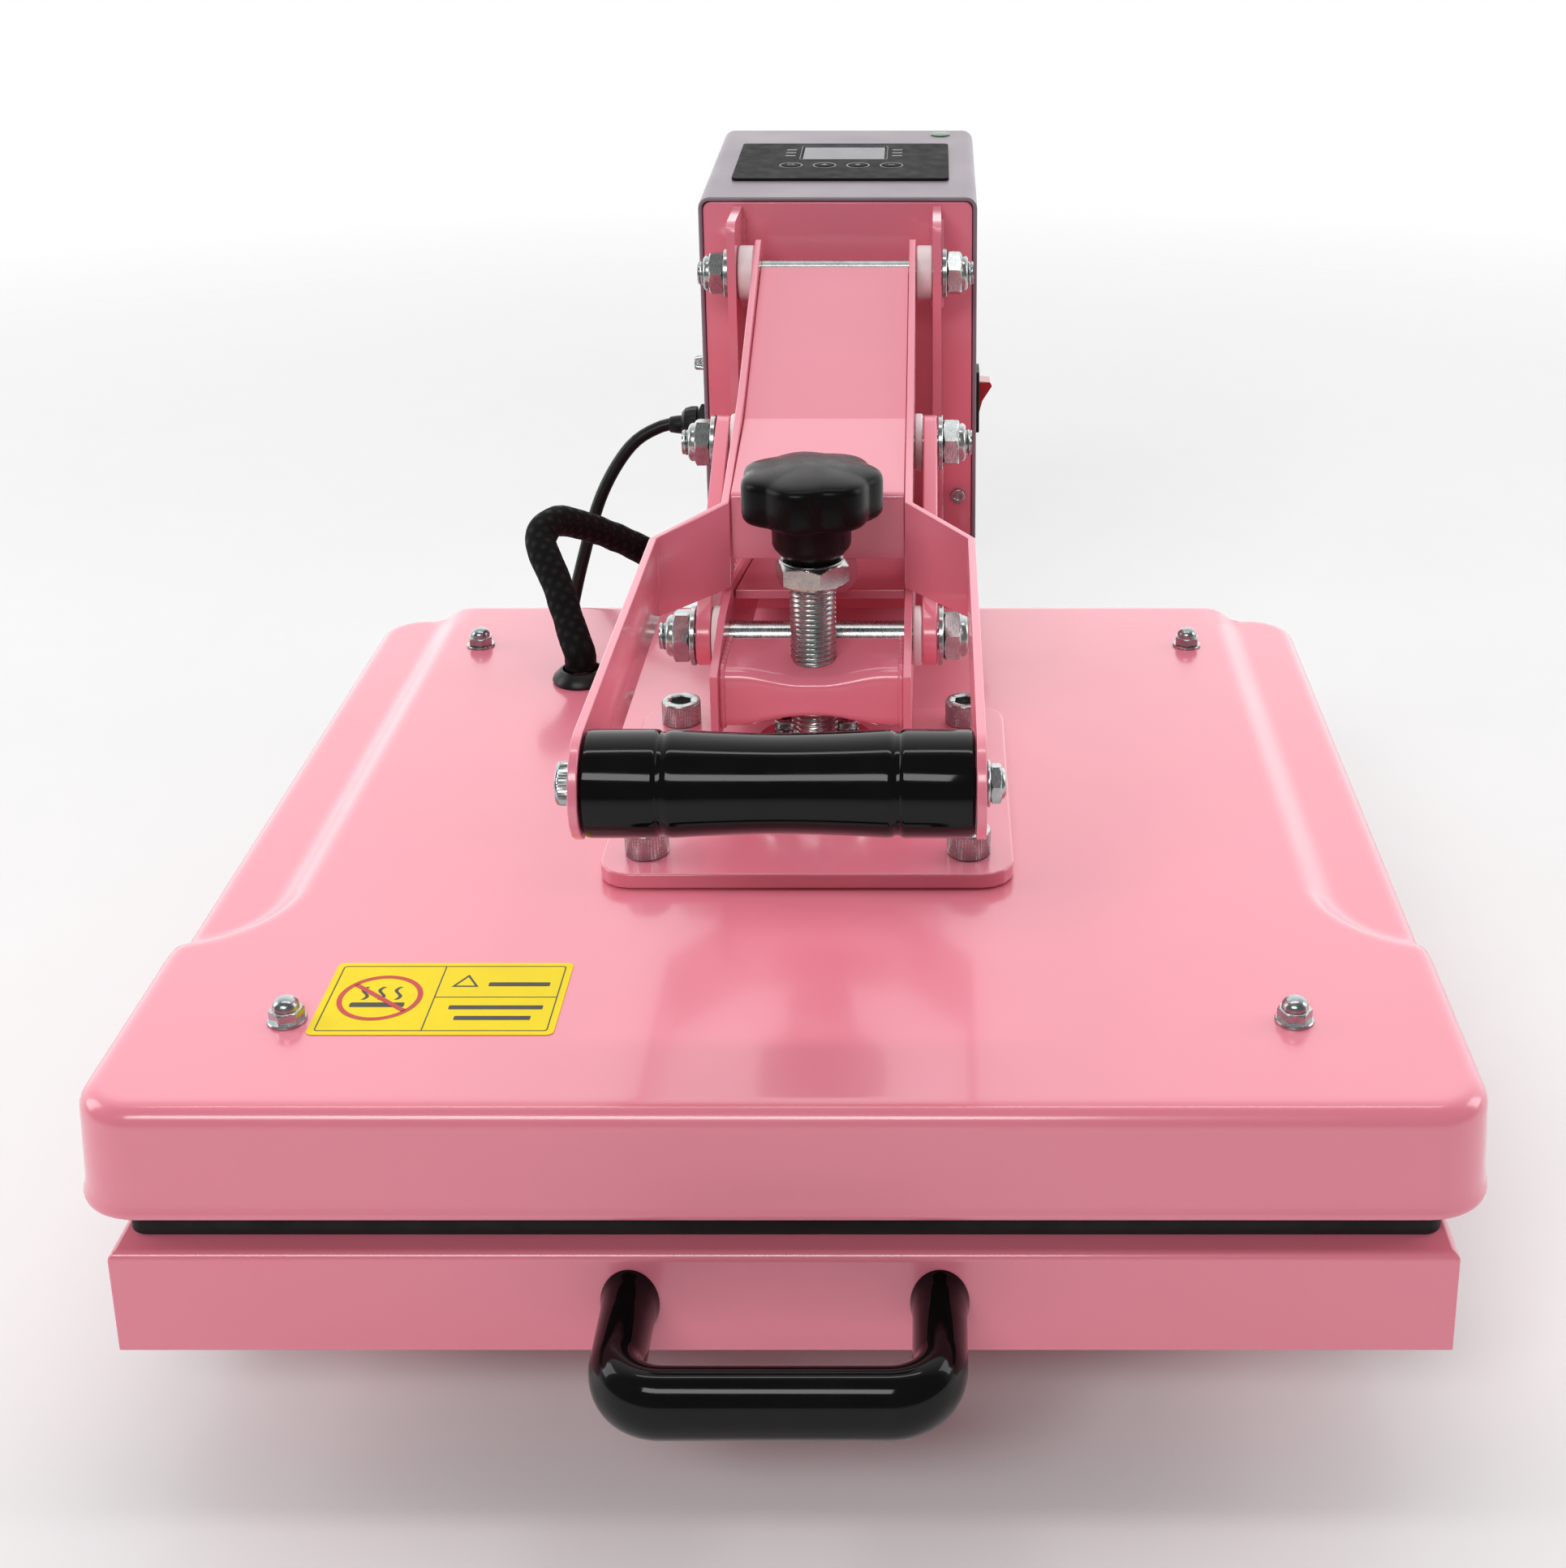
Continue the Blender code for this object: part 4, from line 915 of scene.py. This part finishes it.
def make_label_black(half, ring_at, spot):
    ink = (0.00029, 0.00036)
    bm = bmesh.new()
    outer, inner = half - Vector((0.0022, 0.0022)), half - Vector((0.0026, 0.0026))
    band(bm, rounded(-outer, outer, 0.0012), rounded(-inner, inner, 0.0009), *ink)
    split = -0.0030
    prism(bm, rounded((split - 0.0002, -inner.y), (split + 0.0002, inner.y), 0.0001, 2), *ink)
    prism(bm, rounded((split, 0.0002), (inner.x, 0.0006), 0.0001, 2), *ink)
    hot_low, hot_high = ring_at + Vector((-0.0090, -0.0058)), ring_at + Vector((0.0090, -0.0030))
    prism(bm, rounded(hot_low, hot_high, 0.0006, 3), *ink)
    for k in (-1, 0, 1):
        left, right = [], []
        for i in range(9):
            rise = ring_at + Vector((0.0055 * k + 0.0011 * math.sin(i * 0.8), -0.0012 + 0.0010 * i))
            left.append(rise - Vector((0.0006, 0)))
            right.append(rise + Vector((0.0006, 0)))
        prism(bm, left + right[::-1], *ink)
    sign = Vector((0.0058, 0.0095))
    outer, inner = outline_arc(sign, 0.0052, 90, 330, 3), outline_arc(sign, 0.0052 * 0.72, 90, 330, 3)
    band(bm, outer, inner, *ink)
    for x0, x1, y in ((0.0135, 0.0340, 0.0085), (0.0030, 0.0340, -0.0060), (0.0060, 0.0310, -0.0125)):
        prism(bm, rounded((x0, y - 0.0012), (x1, y + 0.0012), 0.0003, 2), *ink)
    piece("label_print_black", bm, PRINT_BLACK, "platen", (), spot)


def make_label_red(ring_at, spot):
    ink = (0.00035, 0.00041)
    bm = bmesh.new()
    band(bm, outline_arc(ring_at, 0.0140, 0, 354, 60), outline_arc(ring_at, 0.0123, 0, 354, 60), *ink)
    tilt = math.radians(-40)
    along = Vector((math.cos(tilt), math.sin(tilt))) * 0.0127
    across = Vector((-math.sin(tilt), math.cos(tilt))) * 0.0009
    stroke = [-along - across, along - across, along + across, -along + across]
    prism(bm, [ring_at + p for p in stroke], *ink)
    piece("label_print_red", bm, PRINT_RED, "platen", (), spot)


RETAINER_PITCH_R = 0.0172


def make_mount():
    """Square plate on the cover, its four screws, the bearing and the retainer under the pressure screw."""
    refine("mount_plate", "pink_enamel", 0.0011, 4)
    mount_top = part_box("mount_plate")[1].z
    across, before, behind = 0.0595, 0.0585, 0.0595
    for x in (-across, across):
        for y in (SCREW.y - before, SCREW.y + behind):
            bm = bmesh.new()
            socket_cap(bm, 0.0080, GAP, 0.0100, 0.0080)
            place = at((x, y, mount_top)) @ spin(21 + 50 * (x > 0) + 13 * (y > SCREW.y))
            piece(f"mount_screw_{corner_word(x, y, SCREW.y)}", bm, "zinc_steel", "platen", (), place)
    low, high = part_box("bearing_block")
    bm = bmesh.new()
    washer(bm, high.x, 0.0125, 0.0, high.z - low.z, 96, 0.0008)
    piece("bearing_ring", bm, "zinc_steel", "platen", ["bearing_block"], at((0, SCREW.y, low.z)))
    low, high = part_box("retainer_disc")
    bm = bmesh.new()
    washer(bm, high.x, 0.0098, 0.0, high.z - low.z, 96, 0.0009)
    piece("retainer_ring", bm, "chrome", "platen", ["retainer_disc"], at((0, SCREW.y, low.z)))
    for k in range(4):
        angle = math.radians(45 + 90 * k)
        bm = bmesh.new()
        socket_cap(bm, 0.0044, 0.0001, 0.0042, 0.0040)
        place = at((RETAINER_PITCH_R * math.cos(angle), SCREW.y + RETAINER_PITCH_R * math.sin(angle), high.z))
        piece(f"retainer_screw_{k + 1}", bm, "zinc_steel", "platen", (), place)


# ---------------------------------------------------------------- pressure screw


def make_screw():
    """Plain shank in the bearing, a collar, the thread and the hexagon nut under the knob."""
    low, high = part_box("pressure_screw")
    collar_top = 0.1540
    nut_low = high.z - 0.0092
    bm = bmesh.new()
    collar = [(0.0116, low.z), (0.0120, low.z + 0.0004), (0.0120, collar_top)]
    turn(bm, collar + [(0.0088, collar_top + 0.0002), (0.0088, 0.1660)], 64)
    thread(bm, 0.0090, 0.1655, nut_low + 0.002, 0.0020, 0.0009, 48)
    hexagon(bm, 0.0255, nut_low, high.z)
    washer(bm, 0.0122, 0.0085, high.z - 0.0002, high.z + 0.0004)
    place = at((0, SCREW.y, 0)) @ spin(-15)
    piece("screw_and_nut", bm, "zinc_steel", "screw", ["pressure_screw"], place)


def star(angle, height):
    """Seven lobes, the same at every height, as a share of the knob's radius."""
    wave = 0.5 + 0.5 * math.cos(7 * angle)
    return 1.0 - 0.09 * (1 - wave**0.7)


def make_knob():
    low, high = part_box("star_knob")
    rim = (high.x - low.x) / 2
    under = low.z + 0.0175
    lower = ((0.56, -0.0004), (0.86, 0.0), (0.955, 0.0007), (0.99, 0.0020), (1.0, 0.0040))
    side = ((1.0, -0.0048), (0.993, -0.0034), (0.972, -0.0022), (0.93, -0.0014), (0.87, -0.0008))
    crown = ((0.78, -0.0002), (0.6, 0.0005), (0.4, 0.0010), (0.2, 0.0012))
    profile = [(rim * share, under + up) for share, up in lower]
    profile += [(rim * share, high.z + up) for share, up in side + crown]
    bm = bmesh.new()
    turn(bm, profile, 168, wave=star)
    hub = [(0.0098, low.z), (0.0104, low.z + 0.0003), (0.0146, low.z + 0.0052), (0.0151, low.z + 0.0066)]
    hub += [(0.0153, under - 0.0008), (0.0158, under), (0.0158, under + 0.001)]
    turn(bm, hub, 96)
    place = at((0, SCREW.y, 0))
    piece("knob_moulding", bm, KNOB_PLASTIC, "screw", ["star_knob"], place)


# ---------------------------------------------------------------- arm, lever and links


def make_cross_tube():
    """Cast tie across the arm, waisted towards the screw."""
    low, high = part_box("cross_tube")
    centre = middle("cross_tube")
    half = high.x
    depth, full = (high.y - low.y) / 2, (high.z - low.z) / 2
    deepest, flat_share, slope_share = 0.34, 0.10, 0.72
    rings = []
    steps = 40
    for k in range(steps + 1):
        x = -1 + 2 * k / steps
        waist = deepest * (1 - ease((abs(x) - flat_share) / slope_share))
        ring = []
        for p in rounded((-depth, -full), (depth, full), 0.0050, 8):
            share = ease((depth * 0.6 - p.x) / (1.6 * depth)) if p.y > 0 else 1.0
            ring.append((half * x, centre.y + p.x, centre.z + p.y * (1 - waist * share)))
        rings.append(ring)
    bm = bmesh.new()
    loft(bm, rings)
    piece("cross_tie", bm, "pink_enamel", "arm", ["cross_tube"])
    for word, side in SIDES:
        x = side * (half - 0.0006)
        outline = rounded((-depth, -full), (depth, full), 0.0052, 8)
        seam = [Vector((x, centre.y + p.x, centre.z + p.y)) for p in outline]
        weld(f"tie_weld_{word}", "arm", seam, 0.0013)


def weld(name, body, seam, radius, closed=True):
    """A bead of overlapping ripples along a seam, under the paint."""
    path = seam + seam[:1] if closed else seam
    spacing = 0.0008
    points = []
    for a, b in zip(path, path[1:]):
        steps = max(1, round((b - a).length / spacing))
        points += [a.lerp(b, k / steps) for k in range(steps)]
    if not closed:
        points.append(path[-1])
    rings = []
    for i, place in enumerate(points):
        ahead = heading(points, i)
        if closed:
            ahead = (points[(i + 1) % len(points)] - points[i - 1]).normalized()
        side = ahead.orthogonal().normalized()
        if abs(ahead.x) < 0.5:
            side = (Vector((1, 0, 0)) - ahead * ahead.x).normalized()
        r = radius * (0.86 + 0.14 * abs(math.sin(i * 0.55)))
        rings.append(oval(place, side, ahead.cross(side), r, r, 10))
    bm = bmesh.new()
    loft(bm, rings, closed)
    piece(name, bm, "pink_enamel", body, sharp=60)


def folded_sheet(bm, line, thickness, half):
    """A sheet bent along X: line is (y, z) of its outer face, from rear to front."""
    inner = []
    for i, p in enumerate(line):
        ahead = heading(line, i)
        inner.append(p + Vector((-ahead.y, ahead.x)) * thickness)
    outline = line + inner[::-1]
    loft(bm, [[(x, p.x, p.y) for p in outline] for x in (-half, half)])


def fillet(before, corner, after, radius, count=6):
    """Points of a round bend between two straight runs."""
    one, two = (before - corner).normalized(), (after - corner).normalized()
    half = one.angle(two) / 2
    reach = radius / math.tan(half)
    start, stop = corner + one * reach, corner + two * reach
    points = []
    for k in range(count + 1):
        t = k / count
        points.append(start * (1 - t) ** 2 + corner * (2 * t * (1 - t)) + stop * t**2)
    return points


def make_lever_cover():
    """Bent sheet between the lever plates, turned down in front, with a stop tab behind the screw."""
    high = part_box("lever_cover")[1]
    rear, bend = Vector((high.y, high.z)), Vector((0.0425, 0.2600))
    front, foot = Vector((-0.0275, 0.2490)), Vector((-0.0275, 0.2217))
    line = [rear] + fillet(rear, bend, front, 0.006, 4) + fillet(bend, front, foot, 0.0030, 6) + [foot]
    bm = bmesh.new()
    folded_sheet(bm, line, 0.002, high.x)
    tab = [(0.0105, 0.2070), (0.0155, 0.2120), (0.0155, foot.y)]
    tab = [(-x, z) for x, z in reversed(tab)] + tab
    loft(bm, [[(x, y, z) for x, z in tab] for y in (foot.x + 0.0002, foot.x + 0.0018)])
    bevel(piece("lever_cover_sheet", bm, "pink_enamel", "lever", ["lever_cover"]), 0.0004, 2)


# Where the washer starts, the nut starts, the nut ends and the bolt ends, out from the middle.
PIVOT_STACK = (0.0504, 0.0526, 0.0626, 0.0652)
LINK_STACK = (0.0484, 0.0504, 0.0604, 0.0632)
BOLT_R = 0.0060
BOLT_TIP_R = 0.0058


def make_cross_bolts():
    """Bolts across the linkage, each with a washer and a lock nut on its ends."""
    both = (-1, 1)
    rows = (
        ("lever_pivot", LEVER_PIVOT, "root", "lever_pivot_bolt", both, PIVOT_STACK),
        ("arm_pivot", ARM_PIVOT, "root", "arm_pivot_bolt", both, PIVOT_STACK),
        ("link_rear", LINK_REAR, "lever", "link_rear_bolt", both, LINK_STACK),
        ("link_front_left", LINK_FRONT, "link", "link_front_bolt_left", (-1,), LINK_STACK),
        ("link_front_right", LINK_FRONT, "link", "link_front_bolt_right", (1,), LINK_STACK),
    )
    for name, where, body, node, sides, (washer_low, nut_low, nut_high, end) in rows:
        for side in sides:
            bm = bmesh.new()
            washer(bm, 0.0120, BOLT_TIP_R, washer_low, nut_low)
            nyloc(bm, 0.0190, nut_low, nut_high)
            thread(bm, BOLT_TIP_R, nut_high - 0.001, end, 0.0015, 0.0006, 32)
            if len(sides) == 1:
                turn(bm, [(BOLT_TIP_R, 0.0425), (BOLT_TIP_R, washer_low + 0.001)], 48)
                suffix = ""
            else:
                suffix = "_right" if side > 0 else "_left"
            place = sideways(where, side) @ spin(11 if side > 0 else 38)
            piece(f"{name}_nut{suffix}", bm, "zinc_steel", body, [node] if side == sides[-1] else (), place)
        if len(sides) == 2:
            make_rod(f"{name}_rod", where, body, washer_low)
    make_rod("link_front_rod", LINK_FRONT, "arm", 0.0416, ["arm_front_shaft"])


def make_rod(name, where, body, half, nodes=()):
    bm = bmesh.new()
    turn(bm, [(BOLT_R, -half), (BOLT_R, half)], 48)
    piece(name, bm, "zinc_steel", body, nodes, sideways(where, 1))


def make_washers():
    """Nylon washers between the lever, the arm, the links and the column."""
    rows = (
        ("lever_pivot_spacer", LEVER_PIVOT, "root", 0.0457, 0.0130),
        ("link_rear_washer", LINK_REAR, "lever", 0.0417, 0.0125),
        ("link_front_washer", LINK_FRONT, "arm", 0.0417, 0.0120),
        ("arm_pivot_washer", ARM_PIVOT, "root", 0.0457, 0.0120),
    )
    for name, where, body, far, radius in rows:
        for word, side in SIDES:
            bm = bmesh.new()
            washer(bm, radius, 0.0062, 0.0383, far, 64, 0.0006)
            nodes = [f"nylon_spacer_{word}"] if name == "lever_pivot_spacer" else ()
            piece(f"{name}_{word}", bm, "white_nylon", body, nodes, sideways(where, side))


def make_grip():
    """Waisted grip with a groove near each end, on its bolt."""
    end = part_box("lever_grip")[1].x
    waist_end = 0.0318
    half = [(0.0142, end), (0.0156, end - 0.0003), (0.0163, end - 0.0010), (0.0165, end - 0.0022)]
    half += [(0.0165, 0.0380), (0.0163, 0.0370), (0.0158, 0.0364), (0.0157, 0.0356)]
    half += [(0.0158, 0.0348), (0.0163, 0.0340), (0.0164, 0.0328)]
    for k in range(12, -1, -1):
        half.append((0.0152 + 0.0012 * (k / 12) ** 1.6, waist_end * k / 12))
    bm = bmesh.new()
    turn(bm, [(r, -x) for r, x in half] + [(r, x) for r, x in reversed(half[:-1])], 96)
    piece("grip_moulding", bm, "black_gloss_plastic", "lever", ["lever_grip"], sideways(GRIP, 1))
    face = 0.0628
    turned_by = spin(17.19)
    bm = bmesh.new()
    socket_cap(bm, 0.0066, face, face + 0.0052, 0.0050)
    piece("grip_screw_left", bm, "zinc_steel", "lever", (), sideways(GRIP, -1) @ turned_by)
    bm = bmesh.new()
    washer(bm, 0.0072, 0.0042, face, face + 0.0010)
    nyloc(bm, 0.0112, face + 0.0010, face + 0.0058)
    piece("grip_screw_right", bm, "zinc_steel", "lever", ["grip_bolt"], sideways(GRIP, 1) @ turned_by)


def make_linkage():
    for word, _ in SIDES:
        refine(f"lever_plate_{word}", "pink_enamel", 0.0006, 3)
        refine(f"arm_plate_{word}", "pink_enamel", 0.0005, 3)
        refine(f"link_{word}", "pink_enamel", 0.0008, 3)
    refine("arm_top_plate", "pink_enamel", 0.0006, 3)
    make_lever_cover()
    make_cross_tube()
    make_cross_bolts()
    make_washers()
    make_grip()


# ---------------------------------------------------------------- column and control box


def make_column():
    refine("mast_plate", "pink_enamel", 0.0008, 3)
    for word, _ in SIDES:
        refine(f"mast_cheek_{word}", "pink_enamel", 0.0010, 3)
        low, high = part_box(f"mast_cheek_{word}")
        rows = (("low", low.z + 0.004, low.z + 0.060), ("high", high.z - 0.050, high.z - 0.006))
        for x, letter in ((low.x, "a"), (high.x, "b")):
            for level, bottom, top in rows:
                seam = [Vector((x, high.y - 0.0002, z)) for z in (bottom, top)]
                weld(f"cheek_{word}_weld_{level}_{letter}", "root", seam, 0.0016, False)
    refine("control_box_cover", "lilac_enamel", 0.0009, 4)
    screws = (
        ("wall_screw_left", (BOX_LOW.x, 0.2045, 0.242), "-X", 0.0034),
        ("front_screw_right", (0.0585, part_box("mast_plate")[0].y, 0.177), "-Y", 0.0036),
        ("wall_screw_right", (BOX_HIGH.x, 0.2245, 0.100), "X", 0.0034),
    )
    for name, place, axis, radius in screws:
        bm = bmesh.new()
        socket_cap(bm, radius, 0.0001, 0.0055 if axis == "-X" else 0.0032, radius * 0.9)
        piece(name, bm, "zinc_steel", "root", (), at(place, axis))
    make_vents()


def make_vents():
    """Rows of louvres pressed out of the rear wall of the control box."""
    rear = BOX_HIGH.y
    lowest, pitch, half_width = 0.215, 0.013, 0.032
    profile = [(0.0, 0.0), (0.0018, 0.0006), (0.0026, 0.0022)]
    profile += [(0.0026, 0.0042), (0.0016, 0.0056), (0.0, 0.0062)]
    for k in range(6):
        z = lowest + pitch * k
        rings = []
        for i in range(17):
            x = -1 + i / 8
            lift = math.sqrt(max(1 - x**4, 0.0)) * 0.97 + 0.03
            rings.append([(x * half_width, rear - 0.0004 + d * lift, z + h) for d, h in profile])
        bm = bmesh.new()
        loft(bm, rings)
        piece(f"rear_louvre_{k + 1}", bm, "lilac_enamel", "root", sharp=60)


def panel_frame():
    """Matrix of the sloping panel: x to the right, y to the rear, z out of it."""
    rise = math.atan2(0.009, BOX_HIGH.y - BOX_LOW.y)
    centre = middle("panel_overlay")
    up = Vector((0, -math.sin(rise), math.cos(rise)))
    return Matrix.Translation(centre + up * 0.0006) @ Matrix.Rotation(rise, 4, "X")


MARK_HALF = Vector((0.0026, 0.0009))
KEY_RING_R = (0.0059, 0.0053)


def make_panel():
    """Film, display and keys, the grey print on them and the green status dot."""
    spot = panel_frame()
    keys = [spot.inverted() @ middle(f"panel_key_{k + 1}") for k in range(4)]
    window = spot.inverted() @ middle("display_window")
    refine("panel_overlay", "panel_film", 0.00015, 2)
    refine("display_window", "display_grey", 0.00015, 2)
    for k in range(4):
        refine(f"panel_key_{k + 1}", "panel_film", 0.00015, 2)
    ink = (0.00000, 0.00006)
    bm = bmesh.new()
    for key in keys:
        outer, inner = [outline_arc(key, r, 0, 352, 45) for r in KEY_RING_R]
        band(bm, outer, inner, *ink)
    for side in (-1, 1):
        for row in (-1, 0, 1):
            mark = Vector((window.x + side * 0.0275, window.y + row * 0.0066))
            prism(bm, rounded(mark - MARK_HALF, mark + MARK_HALF, 0.0004, 3), *ink)
    centre, half = Vector((window.x, window.y)), Vector((0.0222, 0.0149))
    low, high = centre - half, centre + half
    edge = Vector((0.0003, 0.0003))
    band(bm, rounded(low - edge, high + edge, 0.0010, 4), rounded(low, high, 0.0007, 4), *ink)
    piece("panel_print", bm, PRINT_GREY, "root", (), spot)
    for k, key in enumerate(keys):
        make_key_symbol(k, key, spot)
    bm = bmesh.new()
    turn(bm, [(0.0051, 0.0), (0.0052, 0.0002), (0.0050, 0.0005), (0.0030, 0.0007), (0.0005, 0.0007)], 48)
    dot = spot @ Matrix.Translation((0.0500, 0.0665, -0.0014))
    piece("status_dot", bm, GREEN_DOT, "root", (), dot)


def make_key_symbol(k, key, spot):
    """A ring, an up arrow, a down arrow and a bar, one on each key."""
    ink = (0.00042, 0.00050)
    x, y = key.x, key.y
    bm = bmesh.new()
    if k == 0:
        band(bm, outline_arc(key, 0.0017, 0, 345, 24), outline_arc(key, 0.0012, 0, 345, 24), *ink)
    elif k == 3:
        prism(bm, rounded((x - 0.0016, y - 0.0004), (x + 0.0016, y + 0.0004), 0.0002, 2), *ink)
    else:
        up = 1 if k == 1 else -1
        prism(bm, [(x - 0.0016, y - 0.0010 * up), (x + 0.0016, y - 0.0010 * up), (x, y + 0.0015 * up)], *ink)
    piece(f"key_symbol_{k + 1}", bm, PRINT_GREY, f"key_{k + 1}", (), spot)


def make_switch():
    refine("switch_bezel", "black_matt_plastic", 0.0005, 3)
    refine("power_rocker", "red_rocker", 0.0006, 3)


# ---------------------------------------------------------------- lower platen and base


def make_tray():
    """Drawer tray with its slides, and the sponge pad laid in it."""
    refine("drawer_tray", "pink_enamel", 0.0006, 3, 0.0028)
    for word, _ in SIDES:
        refine(f"slide_runner_{word}", "zinc_steel", 0.0006, 3)
        refine(f"slide_rail_{word}", "zinc_steel", 0.0006, 3)
    low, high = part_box("silicone_pad")
    rings = []
    bottom = ((0.0006, low.z), (0.0, low.z + 0.0006))
    top = ((0.0, high.z - 0.0014), (0.0004, high.z - 0.0005), (0.0014, high.z - 0.00005), (0.03, high.z))
    for inset, z in bottom + top:
        corner = max(0.006 - inset, 0.002)
        line = rounded((low.x + inset, low.y + inset), (high.x - inset, high.y - inset), corner, 8)
        rings.append([(p.x, p.y, z) for p in line])
    bm = bmesh.new()
    loft(bm, rings)
    pad = piece("sponge_pad", bm, "black_silicone", "drawer", ["silicone_pad"])


PULL_WIDE = 0.0085
PULL_TALL = 0.0115


def make_pull_handle():
    """U handle of oval section, moulded in one piece, with a flared foot on each post."""
    low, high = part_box("pull_handle")
    z = middle("pull_handle").z
    half = high.x - PULL_WIDE
    front, rear = low.y + PULL_WIDE, high.y
    bend = 0.0150
    post = [Vector((half, rear - back)) for back in (0.012, 0.004, 0.0015, 0.0)]
    path = [Vector((-p.x, p.y)) for p in reversed(post)]
    path += outline_arc((-half + bend, front + bend), bend, 180, 270, 16)
    path += [Vector((x, front)) for x in (-0.02, -0.007, 0.007, 0.02)]
    path += outline_arc((half - bend, front + bend), bend, 270, 360, 16)
    path += post
    rings = []
    for i, p in enumerate(path):
        ahead = heading(path, i)
        side, up = Vector((ahead.y, -ahead.x, 0)), Vector((0, 0, 1))
        flare = 1.0 + 0.10 * (1 - ease((rear - p.y) / 0.0035))
        rings.append(oval(Vector((p.x, p.y, z)), side, up, PULL_WIDE * flare, PULL_TALL * flare, 40))
    bm = bmesh.new()
    loft(bm, rings)
    piece("pull_handle_moulding", bm, "black_gloss_plastic", "drawer", ["pull_handle"])


def make_base():
    refine("base_plate", "pink_enamel", 0.0010, 3)
    pad = [(0.0132, 0.0), (0.0144, 0.0003), (0.0152, 0.0012), (0.0155, 0.0026), (0.0150, 0.0070)]
    neck = [(0.0143, 0.0074), (0.0143, 0.0082), (0.0148, 0.0086), (0.0118, 0.0172)]
    for word, _ in SIDES:
        refine(f"base_rail_{word}", "pink_enamel", 0.0012, 4)
        for end in ("front", "rear"):
            node = f"foot_{end}_{word}"
            centre = middle(node)
            bm = bmesh.new()
            turn(bm, pad + neck + [(0.0112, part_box(node)[1].z)], 64)
            piece(f"{node}_rubber", bm, "black_rubber", "root", [node], at((centre.x, centre.y, 0)))


def finish_hidden():
    """Better materials on the inner nodes that keep their CAD shape."""
    rows = (
        ("heating_plate", "aluminium"),
        ("insulation_blanket", "insulation"),
        ("controller_board", "circuit_board"),
    )
    for node, slot in rows:
        materials = NODES[node].data.materials
        if not materials:
            materials.append(FINISH[slot])
        for index in range(len(materials)):
            materials[index] = FINISH[slot]


make_camera()
make_stage()
make_world()
make_lights()
make_power_cord()
make_gland()
make_harness()
make_lid()
make_lid_nuts()
make_label()
make_mount()
make_screw()
make_knob()
make_linkage()
make_column()
make_panel()
make_switch()
make_tray()
make_pull_handle()
make_base()
finish_hidden()
